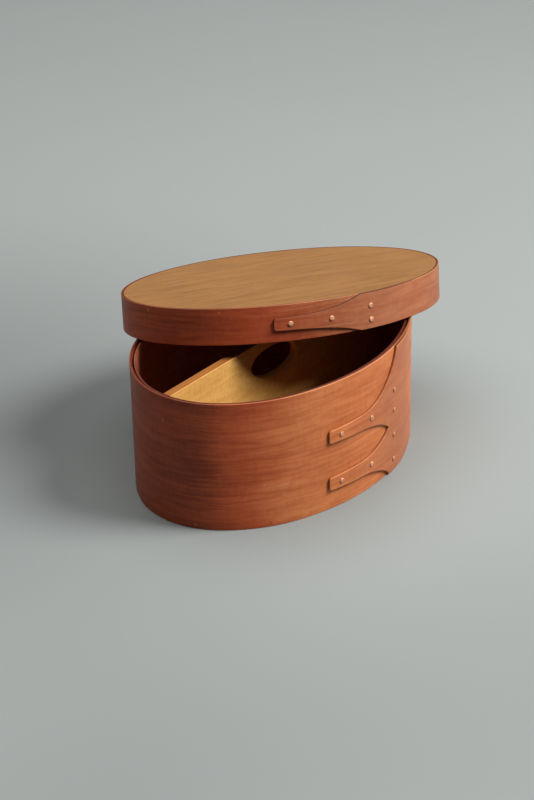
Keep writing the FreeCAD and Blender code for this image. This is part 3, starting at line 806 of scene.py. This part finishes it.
def bent_ring(oval, low, high, thickness, edge_round):
    """The plain closed band: a circle laid on the oval, drawn up, thickened and eased."""
    ring = laid_circle(oval, 420, low, "NOTHING")
    editing(ring, "VERT", lambda vertex: True)
    border = 1.2 * MM
    middle = (high - low - 2 * border) / 3
    for rise in (border, middle, middle, middle, border):
        bpy.ops.mesh.extrude_region_move(TRANSFORM_OT_translate={"value": (0, 0, rise)})
    done_editing()
    outward(ring)
    modified(ring, "SOLIDIFY", thickness=thickness, offset=-1, use_even_offset=True)
    outward(ring)
    modified(ring, "BEVEL", width=edge_round, segments=3, limit_method="ANGLE",
             angle_limit=math.radians(50))

    def depth(place):
        """How far inside the outer face a place lies."""
        return oval.offset - oval.unrolled(place.x, place.y)[1]

    # The top edge is darker toward the inside, and its outer corner is pale: part wear and part painted
    # highlight.
    dark_rim_drop, dark_rim_depth = edge_round * 0.3, thickness * 0.35
    pale_rim_drop, pale_rim_depth = edge_round * 0.7, edge_round * 0.8
    marked(ring, "cut", lambda place: (1 - (high - place.z) / dark_rim_drop) * depth(place) / dark_rim_depth)
    marked(ring, "worn_and_highlit", lambda place: high - place.z < pale_rim_drop and depth(place) < pale_rim_depth)
    return ring


def finger_outline(height, tip, neck, roots, leans, corner):
    """Bezier knots of one finger, from its upper root round the tip to its lower root.

    Each knot is (handle before, place, handle after), as (x, z) pairs.
    """
    tip_x, tip_half = tip
    neck_x, neck_half = neck
    handle = corner * QUARTER_HANDLE
    knots = []
    for side, root, lean in zip((1, -1), roots, leans):
        waist = Vector((neck_x, height + side * neck_half))
        shoulder = Vector((tip_x + corner, height + side * tip_half))
        end = Vector((tip_x, height + side * (tip_half - corner)))
        rise = root - waist
        near_waist, near_root = [waist + Vector((rise.x * a, rise.y * b)) for a, b in lean]
        thirds = (shoulder - waist) / 3
        half = [
            [root, root, near_root],
            [near_waist, waist, waist + thirds],
            [shoulder - thirds, shoulder, shoulder + Vector((-handle, 0))],
            [end + Vector((0, side * handle)), end, end + Vector((0, -side * (tip_half - corner) / 3))],
        ]
        if side < 0:
            half = [knot[::-1] for knot in half[::-1]]
        knots += half
    return knots


def straight(start, end):
    """The two handles of a straight side."""
    third = (end - start) / 3
    return start + third, end - third


def lap_outline(fingers, far, height):
    """Bezier knots round the whole outer layer of a lap, as finger_outline gives them."""
    knots = []
    for finger in fingers:
        piece = finger_outline(**finger)
        if knots:
            knots[-1][2] = piece[0][2]
            piece = piece[1:]
        knots += piece
    start, end = fingers[0]["roots"][0], fingers[-1]["roots"][1]
    around = [Vector((end.x, 0.0)), Vector((far, 0.0)), Vector((far, height)),
              Vector((start.x, height))]
    around = [place for place in around
              if (place - start).length > TINY and (place - end).length > TINY]
    for place in around:
        knots[-1][2], before = straight(knots[-1][1], place)
        knots.append([before, place, place])
    knots[-1][2], knots[0][0] = straight(knots[-1][1], knots[0][1])
    return knots


def finger_layer(oval, fingers, height, sizes):
    """The outer layer of a lap: its outline is drawn flat, thickened, eased, and bent on to the oval."""
    thickness, edge_round = sizes.thickness, sizes.finger_round
    thinning, far = sizes.feather_start, sizes.feather_end
    weld, sliver = 0.02 * MM, 0.015 * MM
    knots = lap_outline(fingers, far, height)
    start_fresh()
    bpy.ops.curve.primitive_bezier_curve_add(location=(0, 0, 0))
    drawn = bpy.context.object
    spline = drawn.data.splines[0]
    spline.bezier_points.add(len(knots) - 2)
    spline.use_cyclic_u = True
    spline.resolution_u = 14
    for point, (before, place, after) in zip(spline.bezier_points, knots):
        point.handle_left_type = point.handle_right_type = "FREE"
        point.co = (place.x, 0, place.y)
        point.handle_left = (before.x, 0, before.y)
        point.handle_right = (after.x, 0, after.y)
    drawn.data.dimensions = "3D"
    only(drawn)
    bpy.ops.object.convert(target="MESH")
    layer = bpy.context.object
    editing(layer, "EDGE", lambda edge: True)
    bpy.ops.mesh.select_all(action="SELECT")
    bpy.ops.mesh.remove_doubles(threshold=weld)
    bpy.ops.mesh.edge_face_add()
    bpy.ops.mesh.extrude_region_move(TRANSFORM_OT_translate={"value": (0, -thickness, 0)})
    done_editing()
    outward(layer)
    coords = layer.data.vertices
    editing(layer, "EDGE",
            lambda edge: all(coords[index].co.y < -thickness / 2 for index in edge.vertices))
    bpy.ops.mesh.bevel(offset=edge_round, segments=3, profile=0.5, affect="EDGES")
    # Cuts across the flat layer let it follow the curve of the oval.
    first = fingers[0]["tip"][0]
    pitch = 1.8 * MM
    for index in range(1, int((far - first) / pitch) + 1):
        bpy.ops.mesh.select_all(action="SELECT")
        bpy.ops.mesh.bisect(plane_co=(first + index * pitch, 0, 0), plane_no=(1, 0, 0))
    bpy.ops.mesh.select_all(action="SELECT")
    bpy.ops.mesh.remove_doubles(threshold=sliver)
    done_editing()

    def dark_edge_and_shade(place):
        """Full on the rim, and weaker down the fingers' sides: burnished edges and painted shade in their
        steps.
        """
        steepness = 2.5
        pared = ((place.y + thickness) / edge_round - 1 + sizes.burnish_and_shade) * steepness
        on_rim = place.z > height - 0.01 * MM
        return min(pared, 1) * (1 if on_rim else sizes.burnish_and_shade)

    def rosier(place):
        """Grows from the tips, and fades where the layer thins away."""
        at_middle, grows_over, fades_over = 0.6, 45 * MM, 24 * MM
        tone = min(at_middle + place.x / grows_over, (far - place.x) / fades_over, 1)
        return tone * sizes.lap_tone

    marked(layer, "cut", dark_edge_and_shade)
    marked(layer, "outer", rosier)
    # Bent on to the oval, its inner face lies a little inside the plain band.
    raised = oval.grown(thickness)
    sunk = 0.12 * MM
    for vertex in layer.data.vertices:
        thinned = min(max((vertex.co.x - thinning) / (far - thinning), 0), 1)
        ramp = 1 - thinned * thinned * (3 - 2 * thinned)
        outer_share = -vertex.co.y / thickness
        offset = (thickness + sunk) * ramp * outer_share - sunk
        spot = oval.point(raised.facing_at(vertex.co.x), offset)
        vertex.co = (spot.x, spot.y, vertex.co.z)
    outward(layer)
    return layer


def lapped_band(name, oval, low, high, sizes, fingers):
    """A band with its lap, in the frame of its own oval. Its grain breaks under the lap."""
    ring = bent_ring(oval, low, high, sizes.thickness, sizes.edge_round)
    layer = finger_layer(oval, fingers, high, sizes)
    start = strip_end(oval, sizes)
    unroll_map(ring, oval, start)
    unroll_map(layer, oval, start, closed=False)
    band = joined([ring, layer], name)
    smoothed(band)
    return band


def finger_ends(sizes):
    """What all of a band's fingers have in common: tip, neck and rounded corners."""
    return {"tip": (-sizes.tip_reach, sizes.tip_width / 2), "corner": sizes.tip_corner,
            "neck": (-sizes.neck_reach, sizes.neck_width / 2)}


def tints_of(*woods):
    """(light, dark) pairs of the woods' colours."""
    finishes = settings().finishes
    return [(getattr(finishes, f"{name}_light"), getattr(finishes, f"{name}_dark")) for name in woods]


def band_mark(x, y, z, along, up, tint, strength):
    """A mark near a point of the box's band, as its place and reach on the band's map."""
    oval = box_oval()
    run = oval.unrolled(x * MM, y * MM)[0] - strip_end(oval, settings().box)
    return (run % oval.perimeter(), z * MM, 0), (along * MM, up * MM, 1), tint, strength


class OVALBOX_OT_box_band(bpy.types.Operator):
    """Bend the box's band and lap its two fingers over it"""

    bl_idname = "ovalbox.box_band"
    bl_label = "Box Band"

    def execute(self, context):
        box = settings().box
        tint = settings().finishes
        low, high = BOX_BAND[0][2], BOX_BAND[1][2]
        half_gap = (box.upper_finger - box.lower_finger) / 2
        notch = Vector((box.root_reach, box.lower_finger + half_gap))
        lowest = Vector((box.root_reach, box.lower_finger - half_gap))
        rim = Vector((box.rim_reach, high))
        fingers = [
            {"height": box.upper_finger, "roots": (rim, notch),
             "leans": (FLARE_TO_RIM, FLARE_TO_ROOT), **finger_ends(box)},
            {"height": box.lower_finger, "roots": (notch, lowest),
             "leans": (FLARE_TO_ROOT, FLARE_TO_ROOT), **finger_ends(box)},
        ]
        band = lapped_band("box_bent_band", box_oval(), low, high, box, fingers)
        # The side that the key lamp lights takes the lighter copies of the colour: painted light.
        lit_share(band, box_oval(), tint.lit_side)
        cherry = wood("cherry band", Shader.uv, tints_of("in_shade", "red", "key_lit"), 3.1, streaks=0.7,
                      cut=tint.cherry_edge_and_shade, marks=[band_mark(*mark) for mark in BOX_MARKS])
        finish(band, "box", "box_band", cherry)
        return {"FINISHED"}


class OVALBOX_OT_tray_band(bpy.types.Operator):
    """Bend the tray's thinner band"""

    bl_idname = "ovalbox.tray_band"
    bl_label = "Tray Band"

    def execute(self, context):
        tray = settings().tray
        tint = settings().finishes
        oval = tray_oval()
        band = bent_ring(oval, TRAY_BAND[0][2], TRAY_BAND[1][2], tray.thickness, tray.edge_round)
        smoothed(named(band, "tray_bent_band"))
        unroll_map(band, oval, oval.run_to(oval.facing_at(tray.seam_tacks, front=False)))
        # The tray's inside is painted lighter where the lamps reach it and darker in its shade.
        lit_share(band, oval, tint.tray_lit_side)
        # The pale rim, part wear and part painted highlight, is left off the tray's rim.
        marked(band, "worn_and_highlit", lambda place: 0)
        cherry = wood("tray band", Shader.uv, tints_of("tray_in_shade", "tray"), 7.7, cut=tint.cherry_edge_and_shade)
        finish(band, "tray", "tray_band", cherry)
        return {"FINISHED"}


class OVALBOX_OT_divider(bpy.types.Operator):
    """Saw the divider, cut its finger hole and round its edges over"""

    bl_idname = "ovalbox.divider"
    bl_label = "Divider"

    def execute(self, context):
        tray = settings().tray
        tint = settings().finishes
        low, high = Vector(DIVIDER[0]), Vector(DIVIDER[1])
        middle = (low + high) / 2
        size = high - low
        start_fresh()
        bpy.ops.mesh.primitive_cube_add(size=1, location=middle, scale=size)
        plank = bpy.context.object
        settled(plank)
        start_fresh()
        bpy.ops.mesh.primitive_cylinder_add(vertices=96, radius=0.5, depth=size.y * 3, location=(0, 0, 0),
                                            scale=(tray.hole_length, tray.hole_height, 1))
        cutter = bpy.context.object
        settled(cutter)
        upright = Matrix.Rotation(tray.hole_tilt, 4, "Y") @ Matrix.Rotation(math.pi / 2, 4, "X")
        settled(cutter, Matrix.Translation((0, middle.y, tray.hole_middle)) @ upright)
        modified(plank, "BOOLEAN", operation="DIFFERENCE", object=cutter, solver="EXACT")
        bpy.data.objects.remove(cutter)
        mesh = plank.data
        across, upright_reach = tray.hole_length / 2 + 1 * MM, tray.hole_height * 0.6

        def at_hole(edge):
            ends = [mesh.vertices[index].co for index in edge.vertices]
            on_face = abs(ends[0].y - ends[1].y) < TINY
            close = all(abs(end.x) < across and abs(end.z - tray.hole_middle) < upright_reach
                        for end in ends)
            return on_face and close

        def at_top(edge):
            ends = [mesh.vertices[index].co for index in edge.vertices]
            return all(end.z > high.z - TINY for end in ends) and abs(ends[0].y - ends[1].y) < TINY

        editing(plank, "EDGE", at_hole)
        bpy.ops.mesh.bevel(offset=tray.hole_round, segments=6, profile=0.5, affect="EDGES",
                           loop_slide=False)
        done_editing()
        editing(plank, "EDGE", at_top)
        bpy.ops.mesh.bevel(offset=tray.top_round, segments=3, profile=0.5, affect="EDGES")
        done_editing()
        # The ends are fitted to the inside of the tray's band.
        inside = tray_oval().grown(-tray.thickness - tray.divider_fit)
        _, _, centre, radius = inside.arcs[0]
        for vertex in mesh.vertices:
            if abs(vertex.co.x) > high.x - 1 * MM:
                x = centre.x + math.sqrt((radius + inside.offset) ** 2 - vertex.co.y ** 2)
                vertex.co.x = math.copysign(x, vertex.co.x)
        outward(named(plank, "tray_divider_board"))
        smoothed(plank)
        # The divider's top face is darkened: painted shade under the lid.
        marked(plank, "cut", lambda place: (place.z - high.z) / (0.2 * MM) + 1)
        maple = wood("pale maple", Shader.on_edge, tints_of("maple"), 1.9, figure=0.85, streaks=0.5,
                     gloss=0.5, coat=0.02, dashes=0.1, curl=(2.0, 3.2, 9), cut=tint.maple_top_shade)
        finish(plank, "tray", "tray_divider", maple)
        return {"FINISHED"}


class OVALBOX_OT_lid_band(bpy.types.Operator):
    """Bend the lid's band and lap its one finger over it"""

    bl_idname = "ovalbox.lid_band"
    bl_label = "Lid Band"

    def execute(self, context):
        lid = settings().lid
        tint = settings().finishes
        finger = {
            "height": lid.finger, "leans": (FLARE_TO_ROOT, FLARE_TO_ROOT),
            "roots": (Vector((lid.root_reach, lid.height)), Vector((lid.root_reach, 0.0))),
            **finger_ends(lid),
        }
        band = lapped_band("lid_bent_band", lid_oval(), 0.0, lid.height, lid, [finger])
        # The side that the key lamp lights takes the lighter copies of the colour: painted light.
        lit_share(band, lid_oval(), tint.lit_side - lid.yaw)
        settled(band, lid_pose())
        cherry = wood("cherry lid band", Shader.uv, tints_of("in_shade", "lid_red", "lid_key_lit"), 5.3,
                      cut=tint.lid_edge_and_shade)
        finish(band, "lid", "lid_band", cherry)
        return {"FINISHED"}


class OVALBOX_OT_lid_board(bpy.types.Operator):
    """Saw the lid's oval top board and ease its upper edge"""

    bl_idname = "ovalbox.lid_board"
    bl_label = "Lid Board"

    def execute(self, context):
        lid = settings().lid
        oval = lid_oval().grown(-lid.thickness - lid.board_fit)
        board = laid_circle(oval, 240, lid.height - lid.board, "NGON")
        mesh = board.data
        editing(board, "FACE", lambda face: True)
        bpy.ops.mesh.extrude_region_move(TRANSFORM_OT_translate={"value": (0, 0, lid.board)})
        done_editing()
        outward(board)
        editing(board, "EDGE", lambda edge: all(
            mesh.vertices[index].co.z > lid.height - TINY for index in edge.vertices))
        bpy.ops.mesh.bevel(offset=lid.board_round, segments=2, profile=0.5, affect="EDGES")
        done_editing()
        smoothed(named(board, "lid_oval_board"))
        plan_map(board)
        # The foot of the eased edge is dark where it meets the band.
        foot = lid.height - lid.board_round
        marked(board, "cut", lambda place: abs(place.z - foot) < 0.1 * MM)
        settled(board, lid_pose())
        top = wood("lid board", Shader.uv, tints_of("lid"), 2.3, streaks=1.3, gloss=0.4, coat=0.08,
                   dashes=0.35, cut=settings().finishes.cherry_edge_and_shade)
        finish(board, "lid", "lid_top_board", top)
        return {"FINISHED"}


def hammered_tack(size, grip, rng):
    """One copper tack along z, its head on the wood at z = 0 and its point flattened inside."""
    start_fresh()
    bpy.ops.mesh.primitive_circle_add(vertices=22, radius=size.clinch_radius, fill_type="NGON",
                                      location=(0, 0, -grip - size.clinch_height))
    tack = bpy.context.object
    settled(tack)
    editing(tack, "FACE", lambda face: True)
    # Each ring of the domed head takes a share of its height and narrows by a factor.
    dome = ((0.5, 0.985), (0.26, 0.9), (0.14, 0.8), (0.08, 0.55))
    steps = [(size.clinch_height, 1), (0, size.shank_radius / size.clinch_radius), (grip, 1),
             (0, size.head_radius / size.shank_radius),
             *((size.head_height * share, factor) for share, factor in dome)]
    for rise, scale in steps:
        bpy.ops.mesh.extrude_region_move(TRANSFORM_OT_translate={"value": (0, 0, rise)})
        bpy.ops.transform.resize(value=(scale, scale, 1))
    bpy.ops.mesh.poke()
    done_editing()
    outward(tack)
    seed = rng.uniform(0, 100)
    # The foot of each head is darkened: painted contact shade.
    marked(tack, "cut", lambda place: 1 - place.z / (size.head_height * 0.6))
    # Hammer blows dent the head and leave it a little out of round.
    blows, wobbles, out_of_round = 900, 360, 0.05
    for vertex in tack.data.vertices:
        if vertex.co.z > 0.1 * MM:
            x, y = vertex.co.x, vertex.co.y
            vertex.co.z += noise.noise(Vector((x * blows, y * blows, seed))) * size.hammering
            vertex.co.x *= 1 + noise.noise(Vector((seed, y * wobbles, 1))) * out_of_round
            vertex.co.y *= 1 + noise.noise(Vector((x * wobbles, seed, 2))) * out_of_round
    return tack


def tack_group(name, places, grip, node, body, seed, pose=None, metal="hammered copper"):
    """Tacks that go through this much wood, at these places on the surface, as one piece."""
    rng = random.Random(seed)
    size = settings().fasteners
    made = []
    for place in places:
        tack = hammered_tack(size, grip, rng)
        spin = Matrix.Rotation(rng.uniform(0, FULL_TURN), 4, "Z")
        settled(tack, place @ spin)
        made.append(tack)
    group = joined(made, name)
    settled(group, pose)
    smoothed(group, 50)
    finish(group, body, node, bpy.data.materials[metal])


class OVALBOX_OT_tacks(bpy.types.Operator):
    """Set and clinch the copper tacks"""

    bl_idname = "ovalbox.tacks"
    bl_label = "Copper Tacks"

    def execute(self, context):
        every = settings()
        box, lid, tray, tint = every.box, every.lid, every.tray, every.finishes
        copper("hammered copper", tint.copper, tint.copper_dull)
        copper("darkened copper", tint.copper_dark, tint.copper_dull)

        def spots(oval, marks, front=True):
            return [oval.placed(oval.facing_at(x, front), z) for x, z in marks]

        raised = box_oval().grown(box.thickness)
        heights = (box.upper_finger, box.lower_finger)
        grip = 2 * box.thickness
        tack_group("box_tip_tack_heads", spots(raised, [(-box.tip_tacks, z) for z in heights]), grip,
                   "box_finger_tip_tacks", "box", 1)
        tack_group("box_middle_tack_heads", spots(raised, [(-box.middle_tacks, z) for z in heights]),
                   grip, "box_finger_middle_tacks", "box", 2)
        column = [(box.seam_tacks, z) for z in box.seam_tack_heights]
        tack_group("box_seam_tack_heads", spots(raised, column), grip, "box_seam_tacks", "box", 3,
                   metal="darkened copper")
        above = lid_oval().grown(lid.thickness)
        grip = 2 * lid.thickness
        marks = [(-lid.tip_tack, lid.finger), (-lid.middle_tack, lid.finger)]
        tack_group("lid_finger_tack_heads", spots(above, marks), grip, "lid_finger_tacks", "lid", 4,
                   lid_pose())
        marks = [(lid.seam_tacks, lid.seam_tack_high), (lid.seam_tacks, lid.seam_tack_low)]
        tack_group("lid_seam_tack_heads", spots(above, marks), grip, "lid_seam_tacks", "lid", 5,
                   lid_pose())
        low, high = TRAY_BAND[0][2] + tray.tack_margin, TRAY_BAND[1][2] - tray.tack_margin
        pitch = (high - low) / (tray.tack_count - 1)
        marks = [(tray.seam_tacks, low + index * pitch) for index in range(tray.tack_count)]
        tack_group("tray_seam_tack_heads", spots(tray_oval(), marks, False), tray.thickness,
                   "tray_seam_tacks", "tray", 6)
        return {"FINISHED"}


def peg_group(name, places, radius, node, body, pose=None):
    """Pegs driven in at these places on the surface, as one piece."""
    size = settings().fasteners
    made = []
    for place in places:
        start_fresh()
        depth = size.peg_length
        bpy.ops.mesh.primitive_cylinder_add(vertices=20, radius=radius, depth=depth,
                                            location=(0, 0, size.peg_proud - depth / 2))
        peg = bpy.context.object
        settled(peg)
        mesh = peg.data
        editing(peg, "EDGE", lambda edge: all(mesh.vertices[index].co.z > 0 for index in edge.vertices))
        bpy.ops.mesh.bevel(offset=size.peg_proud * 0.9, segments=2, affect="EDGES")
        done_editing()
        settled(peg, place)
        made.append(peg)
    group = joined(made, name)
    settled(group, pose)
    smoothed(group)
    finish(group, body, node, bpy.data.materials["peg end grain"])


class OVALBOX_OT_pegs(bpy.types.Operator):
    """Drive the wooden pegs and pins, and sand them flush"""

    bl_idname = "ovalbox.pegs"
    bl_label = "Wooden Pegs"

    def execute(self, context):
        every = settings()
        box, lid, tray, size = every.box, every.lid, every.tray, every.fasteners
        end_grain = (every.finishes.key_lit_dark, every.finishes.red_dark)
        wood("peg end grain", Shader.place, [end_grain], 4.4, gloss=0.55, coat=0)

        def round_board(oval, height):
            step = size.peg_arc / (size.peg_count - 1)
            return [oval.placed(size.first_peg + index * step, height) for index in range(size.peg_count)]

        peg_group("box_peg_ends", round_board(box_oval(), box.peg_height), size.peg_radius,
                  "box_bottom_pegs", "box")
        low, high = TRAY_BAND[0][2], TRAY_BAND[1][2]
        peg_group("tray_peg_ends", round_board(tray_oval(), low + tray.floor / 2), size.peg_radius,
                  "tray_floor_pegs", "tray")
        peg_group("lid_peg_ends", round_board(lid_oval(), lid.height - lid.board / 2), size.peg_radius,
                  "lid_top_pegs", "lid", lid_pose())
        oval = tray_oval()
        radius = oval.arcs[0][3]
        turned = math.asin((DIVIDER[0][1] + DIVIDER[1][1]) / 2 / (radius + oval.offset))
        pins = []
        for facing, along in ((turned, 1), (math.pi - turned, -1)):
            spot = oval.point(facing)
            for z in (low + tray.floor + tray.pin_margin, high - tray.pin_margin):
                turn = Matrix.Rotation(along * math.pi / 2, 4, "Y")
                pins.append(Matrix.Translation((spot.x, spot.y, z)) @ turn)
        peg_group("divider_pin_ends", pins, size.pin_radius, "tray_divider_pins", "tray")
        return {"FINISHED"}


class OVALBOX_OT_boards(bpy.types.Operator):
    """Finish the box's bottom and the tray's floor"""

    bl_idname = "ovalbox.boards"
    bl_label = "Bottom and Tray Floor"

    def execute(self, context):
        for node, seed in (("box_bottom_board", 6.1), ("tray_floor_board", 9.1)):
            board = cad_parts[node]
            planed = wood(node.replace("_", " "), Shader.place, tints_of("floor"), seed, figure=0.15,
                          gloss=0.5, coat=0.02)
            board.data.materials.clear()
            board.data.materials.append(planed)
        return {"FINISHED"}


class OVALBOX_OT_stage(bpy.types.Operator):
    """Lay the paper floor and set the lamps and the camera"""

    bl_idname = "ovalbox.stage"
    bl_label = "Stage"

    def execute(self, context):
        stage = settings().stage
        start_fresh()
        bpy.ops.mesh.primitive_plane_add(size=stage.floor_size, location=(0, 0, 0))
        floor = bpy.context.object
        floor.name = "studio_floor"
        floor.data.materials.append(paper("studio paper", settings().finishes.backdrop))

        bpy.ops.object.camera_add(location=stage.camera_at)
        camera = bpy.context.object
        turn = (Matrix.Rotation(-stage.camera_heading, 4, "Z")
                @ Matrix.Rotation(math.pi / 2 - stage.camera_down, 4, "X")
                @ Matrix.Rotation(stage.camera_roll, 4, "Z"))
        camera.matrix_world = Matrix.Translation(stage.camera_at) @ turn
        camera.data.lens = stage.camera_lens
        camera.data.sensor_width = 36
        context.scene.camera = camera

        ahead = Vector((math.sin(stage.camera_heading), math.cos(stage.camera_heading), 0))
        right = Vector((ahead.y, -ahead.x, 0))
        up = Vector((0, 0, 1))
        key_way = way(stage.key_heading) * math.cos(stage.key_height)
        key_from = Vector((key_way.x, key_way.y, math.sin(stage.key_height))) * stage.key_distance
        fill_from = up * stage.fill_height + ahead * stage.fill_ahead - right * stage.fill_left
        lamps = (("key_lamp", key_from, stage.key_power, stage.key_size),
                 ("fill_lamp", fill_from, stage.fill_power, stage.fill_size))
        for name, offset, power, size in lamps:
            bpy.ops.object.light_add(type="AREA", location=up * stage.aim_height + offset)
            lamp = bpy.context.object
            lamp.name = name
            lamp.data.shape = "DISK"
            lamp.data.size = size
            lamp.data.energy = power
            lamp.rotation_euler = offset.to_track_quat("Z", "Y").to_euler()
        world = bpy.data.worlds.new("studio")
        world.use_nodes = True
        nodes, links = world.node_tree.nodes, world.node_tree.links
        light = nodes["Background"]
        light.inputs["Color"].default_value = (*stage.world_tint, 1)
        light.inputs["Strength"].default_value = stage.world_light
        # The camera sees past the paper's edge into the same pale grey.
        beyond = nodes.new("ShaderNodeBackground")
        beyond.inputs["Color"].default_value = (*settings().finishes.backdrop, 1)
        beyond.inputs["Strength"].default_value = stage.beyond_light
        path = nodes.new("ShaderNodeLightPath")
        pick = nodes.new("ShaderNodeMixShader")
        links.new(path.outputs["Is Camera Ray"], pick.inputs[0])
        links.new(light.outputs[0], pick.inputs[1])
        links.new(beyond.outputs[0], pick.inputs[2])
        links.new(pick.outputs[0], nodes["World Output"].inputs["Surface"])
        context.scene.world = world
        context.scene.view_settings.view_transform = "Standard"
        return {"FINISHED"}


class OVALBOX_PT_panel(bpy.types.Panel):
    """Lists the steps of making the box, and all its sizes and colours"""

    bl_idname = "OVALBOX_PT_panel"
    bl_label = "Oval Box"
    bl_space_type = "VIEW_3D"
    bl_region_type = "UI"
    bl_category = "Oval Box"

    def draw(self, context):
        for operator in OPERATORS:
            self.layout.operator(operator.bl_idname)
        groups = settings()
        for group in ("box", "lid", "tray", "fasteners", "finishes", "stage"):
            column = self.layout.column(heading=group.title())
            for name in getattr(groups, group).__annotations__:
                column.prop(getattr(groups, group), name)


OPERATORS = (
    OVALBOX_OT_stage,
    OVALBOX_OT_box_band,
    OVALBOX_OT_tray_band,
    OVALBOX_OT_divider,
    OVALBOX_OT_lid_band,
    OVALBOX_OT_lid_board,
    OVALBOX_OT_boards,
    OVALBOX_OT_tacks,
    OVALBOX_OT_pegs,
)
CLASSES = (BoxSizes, LidSizes, TraySizes, FastenerSizes, Finishes, StageSizes, OvalBoxSettings,
           *OPERATORS, OVALBOX_PT_panel)


def register():
    for made in CLASSES:
        bpy.utils.register_class(made)
    bpy.types.Scene.oval_box = bpy.props.PointerProperty(type=OvalBoxSettings)


def unregister():
    del bpy.types.Scene.oval_box
    for made in reversed(CLASSES):
        bpy.utils.unregister_class(made)


def main():
    register()
    for operator in OPERATORS:
        group, name = operator.bl_idname.split(".")
        getattr(getattr(bpy.ops, group), name)()


if __name__ == "__main__":
    main()
